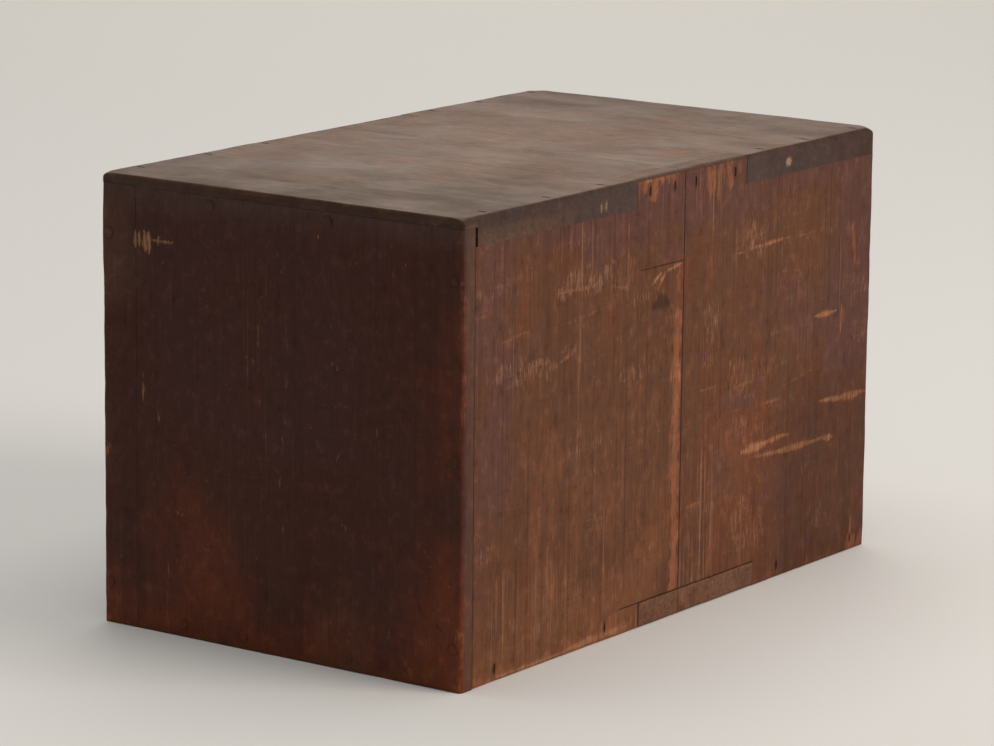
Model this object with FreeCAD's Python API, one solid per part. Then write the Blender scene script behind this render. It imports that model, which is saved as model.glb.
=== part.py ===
import FreeCAD, Part
import os

from FreeCAD import Vector

# A small tansu: a finger-jointed case of boards with three drawers.
# Millimetres, +Z up, the front faces -Y, the origin is the middle of the underside.

# Case
CASE_W = 270.0
CASE_D = 455.0
CASE_H = 280.0
TOP_T = 18.0
BOTTOM_T = 16.0
SIDE_T = 15.0
BACK_T = 12.0
EDGE_R = 2.5
FOOT_R = 1.5

# Joints of the case, with distances measured forward from its back
SEAM = 231.0
TOP_FINGER_START = 177.5
TOP_FINGER_L = 123.5
FOOT_FINGER_START = 186.5
FOOT_FINGER_L = 130.5
LIP_T = 6.5
LIP_GAP = 1.5
NARROW_BACK_W = 27.0

# Shelves
SHELF_T = 9.0
SHELF_GROOVE = 4.0
LOWER_BAY_H = 86.0
MIDDLE_BAY_H = 76.0

# Flat cut nails of the finger joints, placed as shares of the finger they hold
NAIL_L = 38.0
NAIL_T = 1.2
NAIL_W = 5.4
NAIL_SUNK = 0.6
NAIL_FIT = 0.05
TOP_FINGER_NAILS = (0.12, 0.34, 0.53, 0.89)
TOP_EDGE_NAILS = (0.1, 0.49, 0.83)
FOOT_NAILS = (0.13, 0.79)

# Plugs of the back panel, placed as shares of its width or height
PLUG_R = 3.5
PLUG_L = 26.0
PLUG_INSET = 5.5
PLUG_FIT = 0.05
TOP_PLUGS = (0.363, 0.689)
FOOT_PLUGS = (0.304, 0.596, 0.767)
SIDE_PLUGS = (0.095, 0.5, 0.89)

# Drawers
FRONT_T = 15.0
FRONT_LAP = 7.0
FRONT_SET_BACK = 1.0
DRAWER_SIDE_T = 8.0
DRAWER_BACK_T = 8.0
DRAWER_BOTTOM_T = 6.0
DRAWER_BACK_INSET = 8.0
DRAWER_BACK_GROOVE = 3.0
DRAWER_BACK_DROP = 6.0
DRAWER_SIDE_DROP = 2.0
GAP_BESIDE = 0.8
GAP_ABOVE = 1.2
GAP_BELOW = 0.3
GAP_BEHIND = 0.8

# Pegs of the drawers, placed as shares of the joint they hold
PEG_R = 1.5
PEG_GRIP = 11.0
PEG_FIT = 0.05
FRONT_PEGS = (0.2, 0.5, 0.8)
REAR_PEGS = (0.25, 0.7)
EDGE_PEGS = (0.12, 0.37, 0.62, 0.87)
END_PEGS = (0.25, 0.75)

# Pulls
PULL_SPAN = 64.0
PULL_RAISE = 9.0
BAIL_R = 2.4
BAIL_DROP = 27.0
BAIL_BEND_R = 4.5
BAIL_CORNER_R = 11.0
BAIL_STRAIGHT = 4.0
BAIL_END = 6.5
KNOB_R = 3.6
EYE_R = 5.4
EYE_W = 3.2
EYE_GAP = 0.3
EYE_REACH = 9.0
SHANK_H = 3.4
SHANK_FIT = 0.1
LEG_L = 9.0
LEG_T = 1.6
PLATE_R = 11.0
PLATE_CROWN_R = 6.0
PLATE_T = 2.0

HALF_W = CASE_W / 2
BACK_Y = CASE_D / 2
FRONT_Y = -CASE_D / 2
INNER_W = HALF_W - SIDE_T
CEILING = CASE_H - TOP_T
PANEL_H = CASE_H - LIP_T
LOWER_SHELF_Z = BOTTOM_T + LOWER_BAY_H
UPPER_SHELF_Z = LOWER_SHELF_Z + SHELF_T + MIDDLE_BAY_H


def block(x, y, z):
    """A box between a low and a high limit on each axis."""
    size = (x[1] - x[0], y[1] - y[0], z[1] - z[0])
    return Part.makeBox(*size, Vector(x[0], y[0], z[0]))


def about(middle, width):
    """Limits of a stretch of the given width about its middle."""
    return (middle - width / 2, middle + width / 2)


def reach(start, end):
    """Y limits of a stretch given as two distances forward from the back of the case."""
    return (BACK_Y - end, BACK_Y - start)


def side_x(side):
    """X limits of the side board on side -1 (left) or 1 (right)."""
    return tuple(sorted((side * HALF_W, side * INNER_W)))


def rod(start, along, length, radius):
    """A round bar from a point along a direction."""
    return Part.makeCylinder(radius, length, Vector(*start), Vector(*along))


def drilled(shape, holes):
    """The shape without those of the holes that meet its bounding box."""
    near = [hole for hole in holes if shape.BoundBox.intersect(hole.BoundBox)]
    return shape.cut(Part.makeCompound(near)) if near else shape


def worn_form():
    """The outside of the whole case, with the edges rounded by wear."""
    case = block((-HALF_W, HALF_W), (FRONT_Y, BACK_Y), (0, CASE_H))
    upper = [edge for edge in case.Edges if edge.BoundBox.ZMax > CASE_H / 2]
    rounded = case.makeFillet(EDGE_R, upper)
    lower = [edge for edge in rounded.Edges if edge.BoundBox.ZMax < FOOT_R]
    return rounded.makeFillet(FOOT_R, lower)


TOP_FINGER = (TOP_FINGER_START, TOP_FINGER_START + TOP_FINGER_L)
FOOT_FINGER = (FOOT_FINGER_START, FOOT_FINGER_START + FOOT_FINGER_L)
SIDES = {"left": -1, "right": 1}
HALVES = {"rear": reach(0, SEAM), "front": reach(SEAM, CASE_D)}


def top_whole():
    """The top: a board with a notch at each side and a rabbet under its back lip."""
    top = block((-HALF_W, HALF_W), (FRONT_Y, BACK_Y), (CEILING, CASE_H))
    for side in SIDES.values():
        top = top.cut(block(side_x(side), reach(*TOP_FINGER), (CEILING, CASE_H)))
    return top.cut(block((-HALF_W, HALF_W), reach(0, BACK_T + LIP_GAP), (CEILING, PANEL_H)))


def side_whole(side):
    """One side: a middle finger up into the top, a notch for the bottom's finger, and
    a groove for each shelf."""
    x = side_x(side)
    board = block(x, reach(BACK_T, CASE_D), (0, CEILING))
    board = board.fuse(block(x, reach(*TOP_FINGER), (CEILING, CASE_H)))
    board = board.cut(block(x, reach(*FOOT_FINGER), (0, BOTTOM_T)))
    groove = sorted((side * INNER_W, side * (INNER_W + SHELF_GROOVE)))
    for z in (LOWER_SHELF_Z, UPPER_SHELF_Z):
        board = board.cut(block(groove, reach(BACK_T, CASE_D), (z, z + SHELF_T)))
    return board.removeSplitter()


def bottom_whole():
    """The bottom: a board between the sides with a finger out through each of them."""
    board = block((-INNER_W, INNER_W), reach(BACK_T, CASE_D), (0, BOTTOM_T))
    fingers = block((-HALF_W, HALF_W), reach(*FOOT_FINGER), (0, BOTTOM_T))
    return board.fuse(fingers).removeSplitter()


def side_nail(side, distance, z, grow):
    """A nail driven in from the outside of a side; grow gives its hole."""
    depth = NAIL_SUNK if grow == 0 else 0
    x = sorted((side * (HALF_W - depth), side * (HALF_W - NAIL_L - grow)))
    y = about(BACK_Y - distance, NAIL_T + 2 * grow)
    return block(x, y, about(z, NAIL_W + 2 * grow))


def top_nail(side, distance, grow):
    """A nail driven down through the top into the end of a side; grow gives its hole."""
    depth = NAIL_SUNK if grow == 0 else 0
    x = about(side * (HALF_W - SIDE_T / 2), NAIL_W + 2 * grow)
    y = about(BACK_Y - distance, NAIL_T + 2 * grow)
    return block(x, y, (CASE_H - NAIL_L - grow, CASE_H - depth))


def nails(grow):
    """Every nail of the finger joints on both sides."""
    made = []
    for side in SIDES.values():
        for share in TOP_FINGER_NAILS:
            distance = TOP_FINGER[0] + share * TOP_FINGER_L
            made.append(side_nail(side, distance, CASE_H - TOP_T / 2, grow))
        for share in TOP_EDGE_NAILS:
            rear = BACK_T + share * (TOP_FINGER[0] - BACK_T)
            front = CASE_D - share * (CASE_D - TOP_FINGER[1])
            made += [top_nail(side, rear, grow), top_nail(side, front, grow)]
        for share in FOOT_NAILS:
            rear = BACK_T + share * (FOOT_FINGER[0] - BACK_T)
            front = CASE_D - share * (CASE_D - FOOT_FINGER[1])
            made.append(side_nail(side, rear, BOTTOM_T / 2, grow))
            made.append(side_nail(side, front, BOTTOM_T / 2, grow))
    return made


def plugs(grow):
    """Every plug of the back panel; grow gives their holes."""
    top_z = (CEILING + PANEL_H) / 2
    spots = [(share * CASE_W - HALF_W, top_z) for share in TOP_PLUGS]
    spots += [(share * CASE_W - HALF_W, BOTTOM_T / 2) for share in FOOT_PLUGS]
    for side in SIDES.values():
        x = side * (HALF_W - PLUG_INSET)
        spots += [(x, share * PANEL_H) for share in SIDE_PLUGS]
    length = PLUG_L + grow
    return [rod((x, BACK_Y, z), (0, -1, 0), length, PLUG_R + grow) for x, z in spots]


def case_pieces():
    """The boards of the case, its nails and its plugs."""
    form = worn_form()
    holes = nails(NAIL_FIT) + plugs(PLUG_FIT)
    wholes = {"top_board": top_whole(), "bottom_board": bottom_whole()}
    for name, side in SIDES.items():
        wholes[name + "_side"] = side_whole(side)
    made = {}
    for name, whole in wholes.items():
        whole = whole.common(form)
        for half, y in HALVES.items():
            part = whole.common(block((-CASE_W, CASE_W), y, (-CASE_H, 2 * CASE_H)))
            made[name + "_" + half] = drilled(part, holes)
    seam_x = HALF_W - NARROW_BACK_W
    spans = {"back_panel_wide": (-HALF_W, seam_x), "back_panel_narrow": (seam_x, HALF_W)}
    for name, x in spans.items():
        panel = block(x, reach(0, BACK_T), (0, PANEL_H)).common(form)
        made[name] = drilled(panel, holes)
    shelf_half = INNER_W + SHELF_GROOVE
    for name, z in (("shelf_lower", LOWER_SHELF_Z), ("shelf_upper", UPPER_SHELF_Z)):
        made[name] = block((-shelf_half, shelf_half), reach(BACK_T, CASE_D), (z, z + SHELF_T))
    made["joint_nails"] = Part.makeCompound(nails(0))
    made["back_plugs"] = Part.makeCompound(plugs(0))
    return made


def bail(y, z):
    """A swinging bail: a round bar through both eyes, bent down into a loop, with a knob
    at each end."""
    pin = PULL_SPAN / 2
    bend = pin - EYE_W / 2 - BAIL_STRAIGHT
    arm = bend - BAIL_BEND_R
    bow = arm - BAIL_CORNER_R
    low = z - BAIL_DROP
    turn = 0.5 ** 0.5

    def at(side, x, height):
        return Vector(side * x, y, height)

    def half(side):
        end = at(side, pin + BAIL_END, z)
        start_bend = at(side, bend, z)
        end_bend = at(side, arm, z - BAIL_BEND_R)
        mid_bend = at(side, arm + BAIL_BEND_R * (1 - turn), z - BAIL_BEND_R * (1 - turn))
        start_bow = at(side, arm, low + BAIL_CORNER_R)
        end_bow = at(side, bow, low)
        mid_bow = at(side, bow + BAIL_CORNER_R * turn, low + BAIL_CORNER_R * (1 - turn))
        return [
            Part.makeLine(end, start_bend),
            Part.Arc(start_bend, mid_bend, end_bend).toShape(),
            Part.makeLine(end_bend, start_bow),
            Part.Arc(start_bow, mid_bow, end_bow).toShape(),
        ]

    bridge = Part.makeLine(at(-1, bow, low), at(1, bow, low))
    path = Part.Wire(Part.__sortEdges__(half(-1) + [bridge] + half(1)))
    ring = Part.makeCircle(BAIL_R, at(-1, pin + BAIL_END, z), Vector(1, 0, 0))
    bar = path.makePipeShell([Part.Wire(ring)], True, False)
    knobs = [Part.makeSphere(KNOB_R, at(side, pin + BAIL_END, z)) for side in (-1, 1)]
    return bar.fuse(knobs).removeSplitter()


def eye_post(x, y, z, inside_y):
    """An eye post: a ring round the bail, a shank through the front and two clinched legs."""
    wide = about(x, EYE_W)
    ring = rod((wide[0], y, z), (1, 0, 0), EYE_W, EYE_R)
    shank = block(wide, (y, inside_y + LEG_T), about(z, SHANK_H))
    legs = block(wide, (inside_y, inside_y + LEG_T), (z - LEG_L, z + LEG_L))
    eye = rod((wide[0], y, z), (1, 0, 0), EYE_W, BAIL_R + EYE_GAP)
    return ring.fuse([shank, legs]).cut(eye).removeSplitter()


def plate(x, y, z):
    """A low domed plate under an eye post, wide side to the drawer front."""
    return Part.makeCone(PLATE_R, PLATE_CROWN_R, PLATE_T, Vector(x, y, z), Vector(0, -1, 0))


def drawer_pegs(x, y, z, grow):
    """Pegs of one drawer: through its sides into front and back, and up through its bottom."""
    made = []
    radius = PEG_R + grow
    front_y = y[0] + (FRONT_LAP + FRONT_T) / 2
    rear_y = y[1] - DRAWER_BACK_INSET - DRAWER_BACK_T / 2
    floor = z[0] + DRAWER_BOTTOM_T
    side_h = z[1] - DRAWER_SIDE_DROP - floor
    length = DRAWER_SIDE_T + PEG_GRIP + grow
    for start, along in ((x[0], 1), (x[1], -1)):
        for joint_y, shares in ((front_y, FRONT_PEGS), (rear_y, REAR_PEGS)):
            for share in shares:
                spot = (start, joint_y, floor + share * side_h)
                made.append(rod(spot, (along, 0, 0), length, radius))
    length = DRAWER_BOTTOM_T + PEG_GRIP + grow
    for edge in (x[0] + DRAWER_SIDE_T / 2, x[1] - DRAWER_SIDE_T / 2):
        for share in EDGE_PEGS:
            spot = (edge, y[0] + share * (y[1] - y[0]), z[0])
            made.append(rod(spot, (0, 0, 1), length, radius))
    for joint_y in (front_y, rear_y):
        for share in END_PEGS:
            spot = (x[0] + share * (x[1] - x[0]), joint_y, z[0])
            made.append(rod(spot, (0, 0, 1), length, radius))
    return made


def drawer_pieces(name, bay):
    """Boards, pegs and pull of the drawer that fills one bay of the case."""
    x = (GAP_BESIDE - INNER_W, INNER_W - GAP_BESIDE)
    y = (FRONT_Y + FRONT_SET_BACK, BACK_Y - BACK_T - GAP_BEHIND)
    z = (bay[0] + GAP_BELOW, bay[1] - GAP_ABOVE)
    inside_y = y[0] + FRONT_T
    lap_y = y[0] + FRONT_LAP
    floor = z[0] + DRAWER_BOTTOM_T
    side_z = (floor, z[1] - DRAWER_SIDE_DROP)
    back_y = about(y[1] - DRAWER_BACK_INSET - DRAWER_BACK_T / 2, DRAWER_BACK_T)
    left = (x[0], x[0] + DRAWER_SIDE_T)
    right = (x[1] - DRAWER_SIDE_T, x[1])
    grooved = (left[1] - DRAWER_BACK_GROOVE, right[0] + DRAWER_BACK_GROOVE)
    pull_y = y[0] - EYE_REACH
    pull_z = (z[0] + z[1]) / 2 + PULL_RAISE
    posts = (-PULL_SPAN / 2, PULL_SPAN / 2)
    shank_z = about(pull_z, SHANK_H + 2 * SHANK_FIT)
    shank_y = (pull_y, inside_y)
    slots = [block(about(px, EYE_W + 2 * SHANK_FIT), shank_y, shank_z) for px in posts]
    holes = drawer_pegs(x, y, z, PEG_FIT)

    front = block(x, (y[0], inside_y), z)
    for cheek in (left, right):
        front = front.cut(block(cheek, (lap_y, inside_y), z))
    front = front.cut(block(x, (lap_y, inside_y), (z[0], floor)))
    back = block(grooved, back_y, (floor, z[1] - DRAWER_BACK_DROP))
    made = {
        "front": drilled(front, holes + slots),
        "back": drilled(back, holes),
        "bottom": drilled(block(x, (lap_y, y[1]), (z[0], floor)), holes),
        "pegs": Part.makeCompound(drawer_pegs(x, y, z, 0)),
        "pull_posts": Part.makeCompound([eye_post(px, pull_y, pull_z, inside_y) for px in posts]),
        "pull_plates": Part.makeCompound([drilled(plate(px, y[0], pull_z), slots) for px in posts]),
        "bail": bail(pull_y, pull_z),
    }
    for side, span in (("left", left), ("right", right)):
        board = block(span, (lap_y, y[1]), side_z)
        groove = block(grooved, back_y, side_z)
        made[side + "_side"] = drilled(board.cut(groove), holes)
    return {"drawer_" + name + "_" + piece: shape for piece, shape in made.items()}


BAYS = {
    "lower": (BOTTOM_T, LOWER_SHELF_Z),
    "middle": (LOWER_SHELF_Z + SHELF_T, UPPER_SHELF_Z),
    "upper": (UPPER_SHELF_Z + SHELF_T, CEILING),
}

pieces = case_pieces()
for bay_name, bay_z in BAYS.items():
    pieces.update(drawer_pieces(bay_name, bay_z))

os.makedirs("parts", exist_ok=True)
for node, shape in pieces.items():
    solids = Part.makeCompound(shape.Solids) if len(shape.Solids) > 1 else shape.Solids[0]
    solids.exportStep("parts/" + node + ".step")
    print(node, "solids:", len(shape.Solids), "valid:", shape.isValid())
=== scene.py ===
# %% [markdown]
# # A small tansu in worn cedar
# The chest is a case of thick cedar boards with three drawers in its front. The imported CAD model gives
# every piece its place and size, and this lesson gives them their looks: boards with rubbed corners, nail
# slots and scrapes, forged iron pulls, and the light and camera that show them. We begin by loading the
# frame and keeping the box that the CAD model fills, which the pieces made here are meant to stay inside.

import bpy
import numpy as np
from mathutils import Matrix, Vector


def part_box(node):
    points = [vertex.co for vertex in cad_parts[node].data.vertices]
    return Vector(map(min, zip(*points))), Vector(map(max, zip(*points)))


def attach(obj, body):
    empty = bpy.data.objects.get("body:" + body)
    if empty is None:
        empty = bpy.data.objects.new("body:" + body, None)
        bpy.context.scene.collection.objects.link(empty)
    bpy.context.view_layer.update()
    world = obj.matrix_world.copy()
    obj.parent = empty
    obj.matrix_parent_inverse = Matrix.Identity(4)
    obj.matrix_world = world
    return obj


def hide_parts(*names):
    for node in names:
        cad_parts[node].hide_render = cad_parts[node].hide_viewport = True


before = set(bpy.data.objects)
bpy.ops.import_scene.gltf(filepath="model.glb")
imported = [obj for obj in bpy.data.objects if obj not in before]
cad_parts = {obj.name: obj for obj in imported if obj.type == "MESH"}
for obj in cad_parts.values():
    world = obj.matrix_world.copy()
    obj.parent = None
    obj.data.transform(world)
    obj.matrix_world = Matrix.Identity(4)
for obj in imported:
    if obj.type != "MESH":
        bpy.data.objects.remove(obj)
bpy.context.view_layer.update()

# %% [markdown]
# Lengths are easiest to read in millimetres, so every size below is in millimetres, and a piece turns to
# metres only when its mesh is made. The case is measured from the boxes of its CAD boards.

# %% The case in millimetres
MM = 0.001
X, Y, Z = 0, 1, 2


def limits(node, axis):
    """Low and high limit of a CAD node on one axis, in millimetres."""
    low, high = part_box(node)
    return low[axis] / MM, high[axis] / MM


LEFT_X, RIGHT_X = limits("top_board_rear", X)
BACK_Y = limits("back_panel_wide", Y)[1]
FRONT_Y = limits("top_board_front", Y)[0]
HEIGHT = limits("top_board_rear", Z)[1]
WIDTH = RIGHT_X - LEFT_X
DEPTH = BACK_Y - FRONT_Y
print("case", round(WIDTH), "x", round(DEPTH), "x", round(HEIGHT), "mm")

# %% [markdown]
# The joints of the case are cut by hand. Each side sends a wide middle finger up through the top, and the
# bottom sends one out through the side. The CAD boxes give the outer limits of each board, so only the
# places of the fingers and the sizes of laps, gaps and grooves are named here. On every face, distances
# run forward from the back of the chest, across from its left side as seen from the front, or up from the
# floor.

# %% Sizes of the joints
CEILING = limits("top_board_front", Z)[0]
FLOOR_T = limits("bottom_board_front", Z)[1]
PANEL_H = limits("back_panel_wide", Z)[1]
BACK_T = BACK_Y - limits("back_panel_wide", Y)[0]
SIDE_T = limits("left_side_rear", X)[1] - LEFT_X
TOP_T = HEIGHT - CEILING
LIP_T = HEIGHT - PANEL_H
SEAM = BACK_Y - limits("left_side_rear", Y)[0]
PANEL_SEAM = limits("back_panel_wide", X)[1] - LEFT_X
TOP_FINGER = (177.5, 301.0)
FOOT_FINGER = (186.5, 317.0)
LIP_REACH = 14.3
JOINT_GAP = 0.35
SHELF_GROOVE = 4.0
SHELVES = [limits(shelf, Z) for shelf in ("shelf_lower", "shelf_upper")]
print("seam at", round(SEAM), "panel seam at", round(PANEL_SEAM), "shelves at", np.round(SHELVES).tolist())

# %% [markdown]
# Wear is never even. Blender's noise textures could draw it on the surface, but here wear shapes the wood
# as well, and both have to agree. So chance is worked out for a whole grid of points at once: a lattice
# of random heights, blended smoothly between its points, gives soft clouds for dents, for how far a
# corner is rubbed down and for where the finish has gone. The seed makes it the same on every run.

# %% Clouds of chance
LATTICE = (97, 89)
LATTICE_START = (7.3, 3.1)


def cloud(u, v, wide, tall, seed, octaves=3):
    """Smooth chance in 0..1. A lattice of random numbers, one every wide by tall millimetres, is blended
    between its four nearest points by smoothstep weights; each next octave has half the size and half the
    weight."""
    rng = np.random.default_rng(seed)
    total = 0.0
    for octave in range(octaves):
        table = rng.random(LATTICE)
        a = u / wide * 2**octave + LATTICE_START[0]
        b = v / tall * 2**octave + LATTICE_START[1]
        i = np.floor(a).astype(int)
        j = np.floor(b).astype(int)
        s = (a - i) ** 2 * (3 - 2 * (a - i))
        t = (b - j) ** 2 * (3 - 2 * (b - j))
        i, i_next = i % LATTICE[0], (i + 1) % LATTICE[0]
        j, j_next = j % LATTICE[1], (j + 1) % LATTICE[1]
        low = table[i, j] * (1 - s) + table[i_next, j] * s
        high = table[i, j_next] * (1 - s) + table[i_next, j_next] * s
        total = total + (low * (1 - t) + high * t) * 0.5**octave
    return total / (2 - 0.5 ** (octaves - 1))


def rise(low, high, x):
    """Smooth rise from 0 at low to 1 at high: t^2 (3 - 2 t), where t is the share of the way."""
    t = np.clip((x - low) / (high - low), 0, 1)
    return t * t * (3 - 2 * t)


def blotches(u, v, wide, tall, seed, low, high):
    """The thick parts of a cloud: 0 where it is under the low level, 1 where it is over the high one."""
    return rise(low, high, cloud(u, v, wide, tall, seed))


print("clouds run from", round(float(cloud(*np.mgrid[0:90, 0:90], 9, 9, 1).min()), 2), "up")

# %% [markdown]
# A board could be a bevelled cube, but worn boards are not that regular. Here a board is two height
# fields over one grid: how deep its outer face lies below the flat face it was planed to, and how deep
# its inner face lies. The grid needs its points where the shape changes, so its lines crowd beside edges
# and pair up at sharp steps.

# %% Rounded edges and grid lines
CLOSE_LINES = np.array([0.0, 0.15, 0.4, 0.8, 1.5, 2.5])
SHARP_PAIR = np.array([-0.03, 0.03])
LEAST_ROOM = 0.3


def quarter_round(distance, radius):
    """Drop of a rounded edge: radius - sqrt(radius^2 - (radius - distance)^2), or 0 past the radius."""
    inward = np.clip(radius - distance, 0, radius)
    return radius - np.sqrt(np.maximum(radius**2 - inward**2, 0))


def grid_lines(low, high, pitch, close=(), sharp=()):
    """Grid lines at an even pitch, finer beside each close edge, with a tight pair at each sharp step."""
    even = np.linspace(low, high, int(np.ceil((high - low) / pitch)) + 1)
    fine = [edge + side * CLOSE_LINES for edge in (low, high, *close) for side in (-1, 1)]
    tight = [place + SHARP_PAIR for place in sharp]
    busy = np.concatenate([*fine, *tight])
    even = even[np.abs(even[:, None] - busy[None]).min(1) > LEAST_ROOM * pitch]
    lines = np.unique(np.round(np.concatenate([even, busy]), 3))
    return lines[(lines >= low) & (lines <= high)]


print("a 2 mm round drops", quarter_round(np.array([0.0, 1.0, 2.0]), 2.0).round(2), "mm at 0, 1 and 2 mm")
print("grid lines over 9 mm:", grid_lines(0, 9, 3.0, sharp=(6.0,)).tolist())

# %% [markdown]
# Finger joints could be cut with boolean modifiers, but those leave long thin faces that shade badly.
# Here the cells of the grid outside the board's outline are simply left out, and walls close the rim.
# Along an edge the outer face drops as a quarter circle, so a rubbed corner is real geometry and catches
# the light.


# %% A board as two height fields
def everywhere(u, v):
    """The outline of a plain board: all of its grid is wood."""
    return np.ones_like(u, bool)


def level(depth):
    """A face that lies at one depth all over."""
    return lambda u, v: np.full_like(u, depth)


def board_shell(u, v, solid, outer, inner, layers):
    """Closed shell of a board. Grid point (u, v) has layers + 1 copies spread evenly from the depth of
    the outer face to that of the inner face. Solid cells give a quad on the first and last layer, and
    each side of a solid cell with no solid neighbour gives a wall of quads between the layers."""
    uu, vv = np.meshgrid(u, v, indexing="ij")
    share = np.linspace(0, 1, layers + 1)
    top = outer(uu, vv)
    depth = top[..., None] + (inner(uu, vv) - top)[..., None] * share
    index = np.arange(depth.size).reshape(depth.shape)
    middle_u, middle_v = np.meshgrid((u[1:] + u[:-1]) / 2, (v[1:] + v[:-1]) / 2, indexing="ij")
    cells = solid(middle_u, middle_v)
    ring = np.pad(cells, 1)
    i, j = np.nonzero(cells)
    quads = [
        np.stack([index[i, j, 0], index[i + 1, j, 0], index[i + 1, j + 1, 0], index[i, j + 1, 0]], 1),
        np.stack([index[i, j, -1], index[i, j + 1, -1], index[i + 1, j + 1, -1], index[i + 1, j, -1]], 1),
    ]
    rims = (
        (ring[:-2, 1:-1], (0, 0), (0, 1)),
        (ring[2:, 1:-1], (1, 1), (1, 0)),
        (ring[1:-1, :-2], (1, 0), (0, 0)),
        (ring[1:-1, 2:], (0, 1), (1, 1)),
    )
    k = np.arange(layers)
    for neighbour, start, end in rims:
        i, j = (line[:, None] for line in np.nonzero(cells & ~neighbour))
        a, b = (i + start[0], j + start[1]), (i + end[0], j + end[1])
        wall = [index[(*a, k)], index[(*b, k)], index[(*b, k + 1)], index[(*a, k + 1)]]
        quads.append(np.stack(wall, -1).reshape(-1, 4))
    used, quads = np.unique(np.concatenate(quads), return_inverse=True)
    n = layers + 1
    points = uu.ravel()[used // n], vv.ravel()[used // n], depth.ravel()[used]
    return quads.reshape(-1, 4), *points, share[used % n]


plain = board_shell(np.arange(3.0), np.arange(3.0), everywhere, level(0.0), level(1.0), 1)
print("a plain board of 2 by 2 cells has", len(plain[0]), "quads")

# %% [markdown]
# Each board lies in its own plane. A face is given by the axis it looks along, the level of its flat
# outer side and the direction of its inside, and a place function turns grid distances into the chest's
# own millimetres.


# %% Places on a face
def place_on(face, u, v, depth):
    """Grid distances on a face (axis, level, inward sign) to x, y and z in millimetres."""
    axis, flat, inward = face
    flat = flat + inward * depth
    if axis == X:
        return np.stack(np.broadcast_arrays(flat, BACK_Y - u, v), -1)
    if axis == Y:
        return np.stack(np.broadcast_arrays(LEFT_X + u, flat, v), -1)
    return np.stack(np.broadcast_arrays(LEFT_X + u, BACK_Y - v, flat), -1)


print("the top starts at", place_on((Z, HEIGHT, -1), 0.0, 0.0, 0.0).round(1).tolist(), "mm")

# %% [markdown]
# A finished piece stays at the origin, with its place in its mesh, and rides on a body of the frame, so
# that it moves with its joint. It says which CAD node it stands for, hides that node, gets its own finish
# and carries marks: numbers on its points that tell the finish where it is worn.

# %% Adding a piece
SHARP_DEG = 38


def add_piece(name, points, faces, body, finish, node, marks=None, sharp_deg=SHARP_DEG):
    """A mesh from points in millimetres that stands for a CAD node and rides on a body of the frame."""
    mesh = bpy.data.meshes.new(name)
    mesh.from_pydata(points * MM, [], faces)
    for mark, values in (marks or {}).items():
        mesh.attributes.new(mark, "FLOAT", "POINT").data.foreach_set("value", values.astype(np.float32))
    mesh.shade_smooth()
    mesh.set_sharp_from_angle(angle=np.radians(sharp_deg))
    mesh.materials.append(finish)
    piece = bpy.data.objects.new(name, mesh)
    bpy.context.scene.collection.objects.link(piece)
    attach(piece, body)
    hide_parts(node)
    print(name, len(points), "points", len(faces), "faces")


def add_board(node, face, body, finish, u, v, solid, outer, inner, marks, layers=4, plan=None):
    """A worn board on one face of the chest, in place of the CAD node of that name. A plan function may
    move its points within the face at the end."""
    quads, uu, vv, depth, share = board_shell(u, v, solid, outer, inner, layers)
    corner = place_on(face, 0.0, 0.0, 0.0)
    steps = [place_on(face, *step) - corner for step in np.eye(3)]
    if np.linalg.det(steps) > 0:
        quads = quads[:, ::-1]
    points = place_on(face, *(plan(uu, vv) if plan else (uu, vv)), depth)
    add_piece(node + "_worn", points, quads.tolist(), body, finish, node, marks(uu, vv, share))


# %% [markdown]
# Finishes are built from nodes, which could be joined by hand in the shader editor. In a script one small
# helper adds a node, fills its settings and joins its inputs to the outputs of others, so that a finish
# reads as a short list. Colours are written as sRGB hex values, as a colour picker shows them, and turned
# to the linear light that the shaders work in. A CAD node whose shape is right keeps it and gets a new
# finish.


# %% Helpers for finishes
def linear(hex_colour):
    """sRGB hex to linear RGBA: c / 12.92 below 0.04045, else ((c + 0.055) / 1.055)^2.4."""
    c = np.array([int(hex_colour[i : i + 2], 16) / 255 for i in (1, 3, 5)])
    return (*np.where(c <= 0.04045, c / 12.92, ((c + 0.055) / 1.055) ** 2.4), 1.0)


def add_node(tree, kind, inputs=None, output=None, **settings):
    """Adds a shader node, applies its settings, joins or fills its inputs, and returns one of its
    outputs: the named one, or the first that is live."""
    made = tree.nodes.new("ShaderNode" + kind)
    for key, value in settings.items():
        setattr(made, key, value)
    for key, value in (inputs or {}).items():
        live = made.inputs if isinstance(key, int) else {s.name: s for s in made.inputs if s.enabled}
        if isinstance(value, bpy.types.NodeSocket):
            tree.links.new(value, live[key])
        else:
            live[key].default_value = value
    if output:
        return made.outputs[output]
    return next((s for s in made.outputs if s.enabled), None)


def new_finish(name):
    """An empty material and its node tree."""
    finish = bpy.data.materials.new(name)
    finish.use_nodes = True
    finish.node_tree.nodes.clear()
    return finish, finish.node_tree


def refinish(node, finish):
    """Gives a CAD node that keeps its shape a finish of its own."""
    coats = bpy.data.objects[node].data.materials
    coats.clear()
    coats.append(finish)


print("linear of #808080 is", round(float(linear("#808080")[0]), 3))

# %% [markdown]
# The case is sugi, Japanese cedar: a soft wood with straight growth lines, dark late wood between paler
# bands. It was planed, rubbed with a thin brown finish and then handled for a century. A picture of wood
# would repeat, and would stop at every edge. Noise that is stretched along the grain runs on through the
# board, so each thing that the eye reads, such as fine fibres, bands of growth or thin places of the
# finish, is one noise pattern, sized in millimetres on Object coordinates.

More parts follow.
